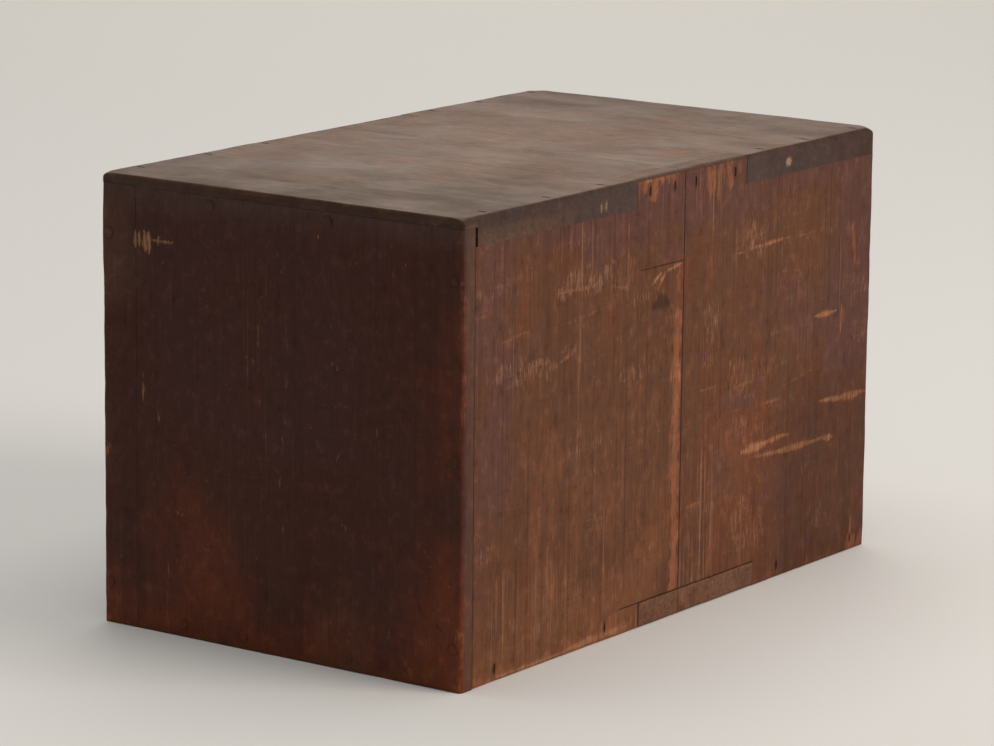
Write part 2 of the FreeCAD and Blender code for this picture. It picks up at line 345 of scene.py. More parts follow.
# %% Patterns of the wood
PATTERNS = {
    # title: mm across the grain, mm along it, detail, roughness
    "fibres": (1.2, 18.0, 3.0, 0.6),  # real fibres are far finer; drawn this coarse so that they show
    "lines": (2.6, 320.0, 2.0, 0.5),  # late wood
    "proud": (2.1, 150.0, 2.0, 0.5),  # lines that stand proud and lose their finish first
    "bands": (15.0, 600.0, 3.0, 0.6),  # years of quick and slow growth
    "clouds": (40.0, 62.0, 6.0, 0.62),  # thick and thin places of the finish
    "mottle": (7.0, 9.0, 5.0, 0.65),  # uneven rubbing of the finish
    "dashes": (1.3, 7.0, 3.0, 0.6),  # proud lines caught by something dragged across the grain
    "scuffs": (30.0, 1.2, 3.0, 0.6),  # thin scratches across the grain
    "flakes": (1.5, 9.0, 4.0, 0.7),  # ragged rims of worn places, torn along the grain
    "specks": (2.1, 2.1, 1.0, 0.5),  # dust that has set hard
}
PATTERN_SHIFT = 3.7  # each pattern starts elsewhere in the noise, so that no two line up


def wood_patterns(tree, along):
    """One noise for each pattern: its scale is 1 / size on each axis, the long size along the grain."""
    place = add_node(tree, "TexCoord", output="Object")
    noise = {None: 0.0}
    for number, (title, (wide, long, detail, rough)) in enumerate(PATTERNS.items()):
        scale = np.full(3, 1 / (wide * MM))
        scale[along] = 1 / (long * MM)
        shift = np.full(3, PATTERN_SHIFT * number)
        spot = add_node(tree, "Mapping", {"Vector": place, "Scale": scale, "Location": shift})
        drawn = {"Vector": spot, "Scale": 1.0, "Detail": detail, "Roughness": rough}
        noise[title] = add_node(tree, "TexNoise", drawn)
    return noise


print(len(PATTERNS), "patterns in the wood")

# %% [markdown]
# One colour ramp over one noise would give stripes, but no wear on top of them. The real look is many
# slight things over each other, so here it is a stack of thin layers. A layer lies where its pattern,
# helped by a mark that the board carries on its points, rises above a level. The first layers are tones
# of the finish and worn wood, the later ones shade what lies below them, and specks and dirt come last.
# The dirt layer also carries painted shade over the front of the sides and round the plugs of the back.

# %% Layers of the finish
LAYERS = (
    # pattern, mark, weight of the mark, level where it starts, level where it is full, cover, colour
    ("clouds", "warm", 0.5, 0.58, 1.05, 0.95, "warm"),
    ("clouds", "cool", 0.5, 0.58, 1.05, 0.95, "cool"),
    ("clouds", "thin", 0.5, 0.58, 1.05, 0.95, "thin"),
    ("proud", "lined", 0.24, 0.66, 0.82, 0.8, "rubbed"),
    ("dashes", "scuffed", 0.34, 0.74, 0.94, 0.9, "rubbed"),
    ("scuffs", "scuffed", 0.14, 0.70, 0.88, 0.6, "rubbed"),
    ("flakes", "bare", 0.46, 0.65, 0.97, 0.95, "bare"),
    ("flakes", "pale", 0.46, 0.65, 0.97, 0.95, "pale"),
    (None, "end", 1.0, 0.0, 1.0, 0.9, "end"),
    ("flakes", "end", 0.3, 0.72, 0.98, 0.8, "end_light"),
    ("bands", None, 0.0, 0.48, 0.70, 0.55, "darker"),
    ("lines", "lined", 0.10, 0.55, 0.70, 0.65, "darker"),
    ("fibres", None, 0.0, 0.50, 0.72, 0.7, "lighter"),
    ("fibres", None, 0.0, 0.44, 0.28, 0.6, "darker"),
    ("mottle", None, 0.0, 0.50, 0.72, 0.8, "lighter"),
    ("mottle", None, 0.0, 0.46, 0.26, 0.8, "darker"),
    ("scuffs", None, 0.0, 0.42, 0.25, 0.4, "darker"),
    ("specks", None, 0.0, 0.775, 0.835, 0.5, "pale"),
    (None, "grime", 1.0, 0.0, 1.0, 0.92, "grime"),
)
SHADES = {"darker": (0.58, 0.52, 0.46, 1.0), "lighter": (1.52, 1.57, 1.62, 1.0)}
GRAINY = ("fibres", "lines", "bands")


def layered_wood(tree, noise, colours, grain):
    """The colour of the wood, and the cover of each layer by its colour. A layer is mixed over the ones
    below it, or shades them, by a smooth step of pattern + weight * mark from its starting level to its
    full level, times its cover. The strength of the grain scales the cover of grainy patterns."""
    wood = linear(colours["base"])
    cover = {}
    for pattern, mark, weight, start, full, most, colour in LAYERS:
        height = noise[pattern]
        if mark:
            carried = add_node(tree, "Attribute", output="Fac", attribute_name=mark)
            height = add_node(tree, "Math", {0: carried, 1: weight, 2: height}, operation="MULTIPLY_ADD")
        most = most * grain if pattern in GRAINY else most
        span = {"Value": height, "From Min": start, "From Max": full, "To Max": most}
        cover[colour] = add_node(tree, "MapRange", span, interpolation_type="SMOOTHSTEP")
        over = SHADES.get(colour) or linear(colours[colour])
        blend = "MULTIPLY" if colour in SHADES else "MIX"
        pair = {"Factor": cover[colour], "A": wood, "B": over}
        wood = add_node(tree, "Mix", pair, data_type="RGBA", blend_type=blend)
    return wood, cover


print(len(LAYERS), "layers in the finish")

# %% [markdown]
# The surface follows the same patterns. Proud lines stand up, late wood and bare places lie lower and
# bare wood is duller. This relief is finer than the mesh, so it is a bump and not geometry. A worn finish
# shines little, end grain takes more of it, and a dusty place loses what shine it had.

# %% Aged wood
RELIEF = (("fibres", 0.6), ("lines", -0.8), ("proud", 0.7))
BARE_RELIEF = -0.5
RELIEF_MM = 0.2
RELIEF_STRENGTH = 0.35
BARE_DULLNESS = 0.14
SMOOTHEST, DULLEST = -0.07, 0.1
CLOUD_SPAN = (0.35, 0.7)
END_SHINE = 0.25
MATT_LOSS = 0.08


def aged_wood(name, along, colours, dullness=0.55, shine=0.12, grain=1.0):
    """Wood with its grain along one axis. Roughness wanders about the dullness with the clouds and grows
    where the wood is bare; the specular level goes from the shine to that of end grain, and falls where
    it is matt."""
    finish, tree = new_finish(name)
    noise = wood_patterns(tree, along)
    wood, cover = layered_wood(tree, noise, colours, grain)
    relief = add_node(tree, "Math", {0: cover["bare"], 1: BARE_RELIEF}, operation="MULTIPLY")
    for title, weight in RELIEF:
        relief = add_node(tree, "Math", {0: noise[title], 1: weight, 2: relief}, operation="MULTIPLY_ADD")
    lifted = {"Height": relief, "Strength": RELIEF_STRENGTH, "Distance": RELIEF_MM * MM}
    bump = add_node(tree, "Bump", lifted)
    span = {"Value": noise["clouds"], "From Min": CLOUD_SPAN[0], "From Max": CLOUD_SPAN[1]}
    span |= {"To Min": dullness + SMOOTHEST, "To Max": dullness + DULLEST}
    dull = add_node(tree, "MapRange", span)
    rough = add_node(tree, "Math", {0: cover["bare"], 1: BARE_DULLNESS, 2: dull}, operation="MULTIPLY_ADD")
    for mark, gain in (("end", END_SHINE - shine), ("matt", -MATT_LOSS)):
        carried = add_node(tree, "Attribute", output="Fac", attribute_name=mark)
        sums = {0: carried, 1: gain, 2: shine}
        shine = add_node(tree, "Math", sums, operation="MULTIPLY_ADD", use_clamp=True)
    surface = {"Base Color": wood, "Roughness": rough, "Normal": bump, "Specular IOR Level": shine}
    add_node(tree, "OutputMaterial", {"Surface": add_node(tree, "BsdfPrincipled", surface)})
    print("finish", name)
    return finish


# %% [markdown]
# The three faces have aged apart. The side is rubbed to a red brown, the back kept more of its dark
# finish, and dust has greyed the top.

# %% Colours of the case
SIDE_COLOURS = {
    "base": "#5e3a26",
    "warm": "#693a23",
    "cool": "#5b3a32",
    "thin": "#72482f",
    "rubbed": "#845d46",
    "bare": "#87543a",
    "pale": "#9c7050",
    "end": "#674833",
    "end_light": "#745640",
    # the colour of dirt, and also of the painted shade that shares its mark
    "grime": "#270d0d",
}
BACK_COLOURS = dict(
    SIDE_COLOURS,
    base="#48271e",
    warm="#6b351f",
    cool="#472a26",
    thin="#583c2f",
    rubbed="#62402f",
    bare="#844b2b",
    pale="#9a6f53",
    grime="#200d0d",
    end="#472f27",
    end_light="#523a30",
)
TOP_COLOURS = dict(
    SIDE_COLOURS,
    base="#674833",
    warm="#74462d",
    cool="#523c2c",
    thin="#745640",
    rubbed="#7d6350",
    bare="#7a5c47",
    pale="#917663",
    grime="#2a1f1a",
    end="#3a2722",
    end_light="#46332d",
)
side_cedar = aged_wood("rubbed_cedar_side", Z, SIDE_COLOURS, grain=0.68)
back_cedar = aged_wood("dark_rubbed_cedar_back", Z, BACK_COLOURS, dullness=0.48, grain=0.4)
top_cedar = aged_wood("dusty_cedar_top", X, TOP_COLOURS, dullness=0.5, shine=0.25, grain=0.65)

# %% [markdown]
# Wear follows use. Corners go first, then the faces that are dragged and knocked. It could be painted by
# hand on a picture, but then it could not be read or moved. Here each stroke is a scrape with its two
# ends, its half width and how much of the finish it took, and each patch is a soft rectangle whose border
# wanders. Everything is measured in millimetres on the face.

# %% Strokes and patches
FRAY_MM = (9.0, 2.4)
GAP_MM = 6.0


def off_line(u, v, line):
    """Distance of each point from the straight line (u0, v0, u1, v1), and its share of the way along."""
    u0, v0, u1, v1 = line
    du, dv = u1 - u0, v1 - v0
    share = np.clip(((u - u0) * du + (v - v0) * dv) / (du * du + dv * dv), 0, 1)
    return np.hypot(u - u0 - share * du, v - v0 - share * dv), share


def strokes(u, v, lines, seed=1):
    """The strongest of many scrapes (u0, v0, u1, v1, half width, strength): strength * exp(-(distance /
    w)^2), where w is the half width, narrowing to the ends of the line; chance frays the rim and breaks
    up the length."""
    total = np.zeros_like(u)
    fray = 0.6 + 0.8 * cloud(u, v, *FRAY_MM, seed)
    gaps = blotches(u, v, GAP_MM, GAP_MM, seed + 1, -0.3, 0.45)
    for *line, half_width, strength in lines:
        distance, share = off_line(u, v, line)
        taper = half_width * (0.35 + 0.65 * np.sin(np.pi * share))
        total = np.maximum(total, strength * gaps * np.exp(-((distance * fray / taper) ** 2)))
    return total


def patches(u, v, areas, soft, seed=2, wander=4.0):
    """The strongest of many rectangles (u0, u1, v0, v1, strength) that fade over the soft distance. The
    place is first moved by clouds of twice that size, wander times the soft distance, so that no border
    is straight."""
    total = np.zeros_like(u)
    a = u + wander * soft * (cloud(u, v, 2 * soft, 2 * soft, seed, 2) - 0.5)
    b = v + wander * soft * (cloud(u, v, 2 * soft, 2 * soft, seed + 1, 2) - 0.5)
    for u0, u1, v0, v1, strength in areas:
        wide = rise(u0 - soft, u0 + soft, a) * rise(-u1 - soft, -u1 + soft, -a)
        tall = rise(v0 - soft, v0 + soft, b) * rise(-v1 - soft, -v1 + soft, -b)
        total = np.maximum(total, strength * wide * tall)
    return total


across = strokes(np.arange(0.0, 6.0), np.zeros(6), [(-9, 0, 9, 0.1, 2.0, 1.0)])
print("a stroke along its own line:", across.round(2).tolist())

# %% [markdown]
# A bevel would round every edge alike, but an edge that hands and floors reach is worn far more than a
# joint. So an edge of a face is a line with its own radius. A large radius is a worn edge, which is
# rounded off and has lost its finish. A radius of 1 mm or less is a joint, which is hardly rounded and
# gathers dirt. The tighter a joint is, the less of it shows.

# %% Worn edges and tight joints
JOINT_R = 1.0
TIGHT = 0.45
ON_EDGE = 0.1  # a point this near the rim of a face belongs to the end of the board
SWELL_MM = 23
RUB_MM = 15


def edge_drop(u, v, edges, seed):
    """How far a face falls near its edges (u0, v0, u1, v1, radius): the largest of their quarter rounds,
    with the radius swelling and shrinking along the edge."""
    swell = 0.6 + 0.8 * cloud(u, v, SWELL_MM, SWELL_MM, seed)
    return np.max([quarter_round(off_line(u, v, line)[0], r * swell) for *line, r in edges], axis=0)


def edge_rub(u, v, edges, reach, seed):
    """Finish lost beside worn edges: 1 on the edge, fading over reach times the radius, broken up by
    chance."""
    chance = blotches(u, v, RUB_MM, RUB_MM, seed, 0.35, 0.8)
    near = [np.exp(-off_line(u, v, line)[0] / (reach * r)) for *line, r in edges if r > JOINT_R]
    return np.max(near, axis=0) * chance


def crevices(u, v, edges, reach):
    """Dirt beside joints: 1 at the joint, or radius / TIGHT where that is less, fading over the reach."""
    joints = [(line, min(1, r / TIGHT)) for *line, r in edges if r <= JOINT_R]
    return np.max([most * np.exp(-off_line(u, v, line)[0] / reach) for line, most in joints], axis=0)


def rim_of(u0, u1, v0, v1, radius):
    """The four edges of a rectangle, all of one radius."""
    level_edges = [(u0, v, u1, v, radius) for v in (v0, v1)]
    return level_edges + [(u, v0, u, v1, radius) for u in (u0, u1)]


drop = edge_drop(np.zeros(3), np.arange(3.0), rim_of(0, 90, 0, 90, 2.0), 1)
print("a worn corner drops", drop.round(2).tolist(), "mm at 0, 1 and 2 mm along one edge")

# %% [markdown]
# A plane leaves soft swells and a few shallow dents in a face. The case is nailed through its fingers
# with flat cut nails, whose heads have sunk in the soft wood: each is a small square-cut slot, with a
# dark stain round it. A patch of dark colour would look flat from the side, so the slots are cut into the
# mesh.

# %% Planed faces and nail slots
DENT_FULL = 0.9
NAIL_HALF = (0.66, 2.76)
NAIL_SLOT = 1.1


def planed(u, v, swells, dents, seed):
    """Depth of the swells (depth, wide, tall) and of the dents (depth, wide, tall, level where they
    start)."""
    deep, *size = swells
    hollow, *spread, start = dents
    dented = blotches(u, v, *spread, seed + 2, start, DENT_FULL)
    return deep * cloud(u, v, *size, seed + 1) + hollow * dented


def slots(u, v, places, half):
    """Square-cut recesses as deep as a sunk nail, half[0] by half[1] to each side of every place."""
    inside = [(np.abs(u - pu) < half[0]) & (np.abs(v - pv) < half[1]) for pu, pv in places]
    return NAIL_SLOT * np.any(inside, axis=0)


def stains(u, v, places, wide, tall):
    """Dark stain round each place: exp(-(du / wide)^2 - (dv / tall)^2)."""
    return np.max([np.exp(-(((u - pu) / wide) ** 2) - ((v - pv) / tall) ** 2) for pu, pv in places], axis=0)


def nail_lines(nails, axis, half):
    """Sharp grid steps at both sides of every nail slot on one axis of the grid."""
    return [place[axis] + side * half for place in nails for side in (-1, 1)]


print("nail slots are", 2 * NAIL_HALF[0], "by", 2 * NAIL_HALF[1], "mm, sunk", NAIL_SLOT, "mm")

# %% [markdown]
# The left side is the most worn face, so its wear is listed place by place. Scrapes come first: something
# hard was dragged over the front half, the top finger was rubbed along the grain, and the foot was pushed
# over floors. Places run from the back of the chest and up from the floor.

# %% Scrapes on the left side
LEFT_WEAR = {}
LEFT_WEAR["scrapes"] = [
    # from, up, to, up, half width, strength
    (302, 89.5, 334, 91, 3.7, 1.0),
    (322, 91, 358, 92.5, 2.3, 0.9),
    (314, 84.5, 350, 83, 2.0, 0.8),
    (336, 83, 392, 82, 2.9, 1.0),
    (385, 82, 405, 83, 1.8, 0.8),
    (401, 81, 412, 81, 2.6, 1.0),
    (394, 107, 424, 106, 2.2, 0.85),
    (411, 105.5, 453, 104.5, 3.3, 1.0),
    (387, 164.5, 413, 164, 2.4, 1.0),
    # lighter knocks over the whole face
    (419, 167, 419, 149, 1.8, 0.65),
    (324, 117.5, 350, 117.5, 1.4, 0.75),
    (343, 124, 390, 130.5, 1.1, 0.5),
    (251, 138, 271, 138, 1.3, 0.55),
    (283, 133, 326, 135, 1.6, 0.5),
    (222, 66, 258, 66.5, 2.4, 0.6),
    (342, 200, 366, 198, 1.6, 0.5),
    (350, 207, 352, 189, 1.5, 0.45),
    (293, 219, 352, 221, 2.0, 0.7),
    (352, 221, 384, 219.5, 1.4, 0.5),
    (390, 219.5, 411, 220, 2.4, 0.5),
    (298, 220, 300, 233, 1.8, 0.45),
    (95, 222.5, 146, 221.5, 1.6, 0.6),
    (150, 219, 173, 214.5, 1.8, 0.55),
    (148, 237, 162, 229, 1.6, 0.5),
    (12, 220, 26, 220, 1.8, 0.5),
    (35, 201, 73, 206, 1.6, 0.5),
    (100, 203, 147, 207, 1.4, 0.45),
    (100, 181, 116, 186, 2.6, 0.6),
    (12, 78, 32, 78.5, 3.2, 0.4),
    (150, 79, 163, 82, 1.6, 0.4),
    (130, 72, 142, 72, 4.0, 0.35),
    (196, 213, 206, 219, 1.6, 0.8),
    (203, 210, 212, 220, 1.6, 0.85),
    (210, 219, 229, 222, 1.6, 0.9),
    (437, 0, 438, 22, 1.8, 0.75),
    (370, 77, 381, 55, 2.6, 0.45),
    (312, 26, 312, 70, 1.5, 0.45),
    (390, 36, 390, 25, 1.6, 0.45),
    (412, 33, 412, 22, 2.0, 0.45),
    (170, 205, 170, 258, 1.4, 0.55),
    # along the foot
    (36, 2, 110, 2, 1.8, 0.9),
    (108, 3, 174, 4.5, 3.0, 1.0),
    # down the rubbed finger
    (181, 280, 181, 267, 1.3, 0.6),
    (187, 280, 187, 271, 1.3, 0.6),
    (206, 280, 206.5, 272, 1.5, 0.65),
    (213, 280, 213, 273, 1.6, 0.7),
    (219, 280, 219, 275, 1.3, 0.65),
    (259, 280, 259, 268, 1.2, 0.6),
    (264, 280, 264.5, 262, 1.2, 0.6),
    (272, 280, 272, 264, 1.1, 0.55),
    (279, 280, 279, 268, 1.2, 0.55),
    (178, 278, 224, 278.5, 1.8, 0.75),
]
print(len(LEFT_WEAR["scrapes"]), "scrapes on the left side")

# %% [markdown]
# A wide board moves with the seasons, so it has a few fine cracks along its grain, and a corner beside
# the top finger broke off and was glued back. A saw ran a little too far where the foot finger was cut.

# %% Cuts and cracks
BREAK_Z = 223.6
LEFT_WEAR["cuts"] = [
    # from, up, to, up, half width, strength
    (163, FLOOR_T, FOOT_FINGER[0], FLOOR_T, 0.5, 0.9),
    (184, BREAK_Z, SEAM, BREAK_Z, 0.5, 0.75),
    (445.5, 2, 445.5, 14, 0.8, 0.9),
]
LEFT_WEAR["cracks"] = [
    (110, 0, 110.5, 236, 0.6, 0.7),
    (170, 20, 169, 262, 0.6, 0.6),
    (55, 0, 55.5, 70, 0.6, 0.6),
    (88, 0, 88, 62, 0.6, 0.6),
    (314, 20, 314, 90, 0.7, 0.5),
    (70, 205, 70.5, 258, 0.6, 0.4),
]
print(len(LEFT_WEAR["cuts"]), "cuts and", len(LEFT_WEAR["cracks"]), "cracks")

# %% [markdown]
# Rubbed places have lost their finish: the top finger, the foot and the front edge, and a bright strip
# beside the glued seam. Scuffed places have only the tips of their proud lines caught, and in lined
# places the late wood stands out.

# %% Rubbed, scuffed and lined places
LEFT_WEAR["rubs"] = [
    # from, to, up from, up to, strength
    (178, 202, 268, 280, 0.85),
    (203, 222, 271, 280, 0.9),
    (255, 285, 256, 280, 0.7),
    (292, 300, 268, 279, 0.5),
    (172, 180, 226, 262, 0.4),
    (429, 437, 178, 222, 0.8),
    (443, 450, 203, 221, 0.5),
    (14, 150, -2, 4, 1.5),
    (24, 60, 0, 7, 0.8),
    (60, 150, 0, 6, 1.3),
    (149, 175, 0, 11, 1.6),
    (432, 455, -2, 10, 1.2),
    (380, 430, -2, 2, 0.9),
    (416, 422, 146, 168, 0.75),
    (286, 330, 25, 58, 0.3),
    (350, 370, 228, 248, 0.3),
]
LEFT_WEAR["strips"] = [
    (221, 229.5, 10, 195, 1.15),
    (217, 229.5, 60, 200, 0.6),
    (172, 178, 226, 262, 0.5),
    (223, 230, 195, 222, 0.75),
]
LEFT_WEAR["scuffed"] = [
    (95, 150, 219, 234, 1.0),
    (33, 75, 199, 207, 0.8),
    (33, 90, 174, 190, 1.0),
    (97, 118, 180, 190, 1.0),
    (12, 25, 216, 224, 0.7),
    (150, 178, 212, 236, 0.7),
    (205, 213, 150, 200, 0.8),
    (293, 330, 212, 240, 0.9),
    (330, 415, 214, 224, 0.7),
    (335, 385, 185, 205, 0.6),
    (255, 275, 150, 195, 0.8),
    (283, 310, 125, 150, 0.8),
    (285, 330, 95, 120, 0.6),
    (286, 330, 25, 60, 0.8),
    (12, 30, 72, 84, 0.9),
    (130, 165, 66, 84, 0.7),
    (50, 62, 60, 100, 0.5),
    (60, 150, 20, 50, 0.6),
    (345, 370, 232, 255, 0.7),
    (376, 386, 52, 80, 0.8),
    (380, 420, 20, 40, 0.7),
]
LEFT_WEAR["lined"] = [
    (236, 274, 0, 120, 0.8),
    (40, 120, -20, 70, 0.65),
    (95, 112, 60, 235, 0.5),
    (250, 274, 158, 198, 0.8),
    (95, 150, 212, 232, 0.8),
    (33, 90, 172, 190, 0.6),
    (256, 282, 250, 290, 1.1),
    (294, 308, 210, 235, 0.7),
]
print(len(LEFT_WEAR["rubs"]), "rubbed and", len(LEFT_WEAR["scuffed"]), "scuffed places")

# %% [markdown]
# Between the worn places the finish itself varies: warm where it is thick and red, cool where it is hazy,
# thin where wood shows through, with a stain under the top finger. Painted shade darkens the front of
# the side, where the light falls off.

# %% Tones of the side
LEFT_WEAR["warm"] = [
    # from, to, up from, up to, strength
    (290, 335, 20, 62, 1.0),
    (60, 215, 30, 170, 0.25),
    (168, 182, 226, 262, 0.6),
    (350, 480, -30, 150, 0.35),
    (236, 345, -30, 165, 0.7),
]
LEFT_WEAR["cool"] = [
    (12, 62, 85, 260, 0.8),
    (182, 250, 230, 272, 1.0),
    (335, 470, 150, 200, 0.6),
    (12, 470, 240, 285, 0.9),
    (395, 470, 120, 300, 0.9),
]
LEFT_WEAR["thin"] = [
    (14, 215, -30, 50, 1.0),
    (60, 215, 50, 160, 0.45),
    (238, 320, -20, 130, 0.35),
    (20, 170, 190, 236, 0.3),
    (250, 330, 190, 240, 0.3),
]
LEFT_WEAR["dirt"] = [(198, 216, 199, 208, 0.6)]
# painted shade: the front of the side darker, where the light falls off towards it
LEFT_WEAR["painted_shade"] = [(335, 490, -40, 135, 0.4), (400, 490, 130, 300, 0.22)]
print("kinds of wear:", ", ".join(LEFT_WEAR))

# %% [markdown]
# The right side has the same joints and calmer wear: only some of the rows above.

# %% Wear of the right side
RIGHT_ROWS = {
    "scrapes": slice(9, 22),
    "cuts": slice(1),
    "cracks": slice(1, 3),
    "rubs": slice(3),
    "strips": slice(0),
    "scuffed": slice(6, 12),
    "lined": slice(4),
    "warm": slice(1, None),
    "cool": slice(2, None),
    "thin": slice(1, None),
    "dirt": slice(0),
    "painted_shade": slice(0),
}
RIGHT_WEAR = {kind: rows[RIGHT_ROWS[kind]] for kind, rows in LEFT_WEAR.items()}
print(sum(map(len, RIGHT_WEAR.values())), "of", sum(map(len, LEFT_WEAR.values())), "rows on the right side")

# %% [markdown]
# Nails were driven through the top finger into the top, and through the foot into the bottom. Their
# places are shares of the joint's length.

# %% Nails of the sides
TOP_FINGER_NAILS = (0.12, 0.34, 0.53, 0.89)
FOOT_NAILS = (0.13, 0.79)


def side_nails():
    """Places of the nail slots on a side, as (distance from the back, height)."""
    reach = TOP_FINGER[1] - TOP_FINGER[0]
    top = [(TOP_FINGER[0] + s * reach, (CEILING + HEIGHT) / 2) for s in TOP_FINGER_NAILS]
    rear = [(BACK_T + s * (FOOT_FINGER[0] - BACK_T), FLOOR_T / 2) for s in FOOT_NAILS]
    front = [(DEPTH - s * (DEPTH - FOOT_FINGER[1]), FLOOR_T / 2) for s in FOOT_NAILS]
    return top + rear + front


print("nail slots from the back:", sorted(round(place) for place, _ in side_nails()))

# %% [markdown]
# Dirt gathers in many ways: in joints, cuts, cracks and round nails, on the end grain of the top finger
# and in the stain. The same mark carries painted shade over the front, and the strongest of them all
# shows. Bare wood shows on edges, in rubbed places and along scrapes, whose middle is paler still.

# %% Marks of a side
WORN = 2.6
SKIN = 0.05  # points within this share of the thickness are on the outer face
DARK_TIP = (2.8, 1.4)  # from the finger's end: where it starts to darken, where it is darkest
END_TIP = (2.6, 0.4)  # the same for its end grain


def side_dirt_and_shade(uu, vv, share, wear, edges, nails, seed):
    """The strongest of all the kinds of dirt on a side, and of the painted shade over its front."""
    kinds = [
        0.9 * crevices(uu, vv, edges, 0.6),
        strokes(uu, vv, wear["cuts"]),
        0.95 * stains(uu, vv, nails, 1.5, 4.0),
        patches(uu, vv, wear["dirt"], 4.0),
        0.55 * rise(HEIGHT - DARK_TIP[0], HEIGHT - DARK_TIP[1], vv) * (share < SKIN),
        # painted shade over the front, where the light falls off
        patches(uu, vv, wear["painted_shade"], 40.0, seed + 14, wander=1.0),
        strokes(uu, vv, wear["cracks"], seed + 12),
    ]
    return np.max(kinds, axis=0)


def side_marks(uu, vv, share, wear, edges, nails, seed):
    """All marks of a side: its placed wear, broken up along the grain, and clouds of chance between."""
    scraped = np.clip(1.35 * strokes(uu, vv, wear["scrapes"]), 0, 1)
    streaks = 0.45 + 0.75 * blotches(uu, vv, 3.0, 24, seed + 10, 0.28, 0.68)
    strips = (0.5 + 0.6 * streaks) * (0.65 + 0.6 * cloud(uu, vv, 6, 9, seed + 17))
    strips = strips * patches(uu, vv, wear["strips"], 2.5, seed + 9, wander=2.2)
    rubbed = streaks * patches(uu, vv, wear["rubs"], 3.5)
    bare = np.max([edge_rub(uu, vv, edges, 1.5, seed + 3), rubbed, strips, scraped], axis=0)
    caught = 0.7 * blotches(uu, vv, 70, 18, seed + 6, 0.5, 0.85)
    ruddy = 0.7 * blotches(uu, vv, 22, 30, seed + 15, 0.5, 0.85)
    hazy = 0.7 * blotches(uu, vv, 26, 18, seed + 16, 0.5, 0.85)
    return {
        "bare": bare * np.where(share > SKIN, 0.5, 1),
        "pale": np.clip(1.2 * scraped - 0.5, 0, 1),
        "lined": patches(uu, vv, wear["lined"], 26.0, seed + 5, wander=2.5),
        "scuffed": np.maximum(caught, 0.9 * patches(uu, vv, wear["scuffed"], 5.0, seed + 11)),
        "warm": np.maximum(patches(uu, vv, wear["warm"], 22.0, seed + 7, wander=2.5), ruddy),
        "cool": np.maximum(patches(uu, vv, wear["cool"], 18.0, seed + 8, wander=2.5), hazy),
        "thin": patches(uu, vv, wear["thin"], 26.0, seed + 13, wander=2.5),
        "grime": side_dirt_and_shade(uu, vv, share, wear, edges, nails, seed),
        "end": np.where(vv < ON_EDGE, 1.0, rise(HEIGHT - END_TIP[0], HEIGHT - END_TIP[1], vv)),
    }


print("worn edges are rounded to about", WORN, "mm")

# %% [markdown]
# A side is two boards glued edge to edge, so each half has its own outline: a part of the finger at the
# top, a part of the notch at the foot, and the grooves for the shelves inside. The finger ends a hair
# under the top.

# %% A board of a side
FOOT = 1.4
FLUSH = (6, 0.25)  # length of the finger that is lowered, and how far
FRONT_EASE = 0.8
SIDE_PLANING = {"swells": (0.3, 60, 110), "dents": (0.35, 21, 33, 0.62)}
CUT_DEPTH, SCRAPE_DEPTH = 0.5, 0.15
TIGHTEST = 0.3 * TIGHT
FRONT_WORN = 0.8 * WORN


def flush(uu, vv):
    """Lowers the end of the finger, so that it stays just under the top."""
    return uu, vv - FLUSH[1] * rise(HEIGHT - FLUSH[0], HEIGHT, vv)


def side_half(name, face, wear, pitch, seed):
    """One board of a side: its outline with fingers, worn outer face and shelf grooves inside."""
    front = name.endswith("front")
    low, high = (SEAM, DEPTH) if front else (BACK_T + JOINT_GAP, SEAM)
    t0, t1 = np.clip(TOP_FINGER, low, high)
    f0, f1 = np.clip(FOOT_FINGER, low, high)
    foot = (f1, high) if front else (low, f0)
    t_end, f_end = (t1, f1) if front else (t0, f0)
    edges = [
        (t0, HEIGHT, t1, HEIGHT, WORN),
        (foot[0], 0, foot[1], 0, FOOT),
        (f0, FLOOR_T, f1, FLOOR_T, TIGHT),
        (low, 0, low, HEIGHT, TIGHT),
        (high, 0, high, HEIGHT, FRONT_WORN if front else TIGHT),
        (t_end, CEILING, t_end, HEIGHT, TIGHT),
        (f_end, 0, f_end, FLOOR_T, TIGHTEST if front else TIGHT),
    ]
    nails = [place for place in side_nails() if low < place[0] < high]
    u = grid_lines(low, high, pitch, (t_end, f_end), nail_lines(nails, 0, NAIL_HALF[0]))
    sharp = (*np.ravel(SHELVES), *nail_lines(nails, 1, NAIL_HALF[1]))
    v = grid_lines(0, HEIGHT, pitch, (FLOOR_T, CEILING, BREAK_Z), sharp)

    def solid(cu, cv):
        return ((cv > FLOOR_T) | (cu < f0) | (cu > f1)) & ((cv < CEILING) | ((cu > t0) & (cu < t1)))

    def outer(uu, vv):
        cut = CUT_DEPTH * strokes(uu, vv, wear["cuts"]) + SCRAPE_DEPTH * strokes(uu, vv, wear["scrapes"])
        face_depth = edge_drop(uu, vv, edges, seed) + planed(uu, vv, **SIDE_PLANING, seed=seed)
        return face_depth + cut + slots(uu, vv, nails, NAIL_HALF)

    def inner(uu, vv):
        grooved = np.any([(vv > z0) & (vv < z1) for z0, z1 in SHELVES], axis=0)
        return SIDE_T - SHELF_GROOVE * grooved - quarter_round(DEPTH - uu, FRONT_EASE)

    def marks(uu, vv, share):
        return side_marks(uu, vv, share, wear, edges, nails, seed)

    add_board(name, face, "case", side_cedar, u, v, solid, outer, inner, marks, plan=flush)


for half in ("rear", "front"):
    side_half("left_side_" + half, (X, LEFT_X, 1), LEFT_WEAR, pitch=1.4, seed=11)
    side_half("right_side_" + half, (X, RIGHT_X, -1), RIGHT_WEAR, pitch=2.2, seed=31)

# %% [markdown]
# The top is two boards with their grain from side to side. Dust lies on the flat, the corners are rubbed,
# and short nails driven down into the sides leave dark slots. On the top, places run across from the left
# side and forward from the back.

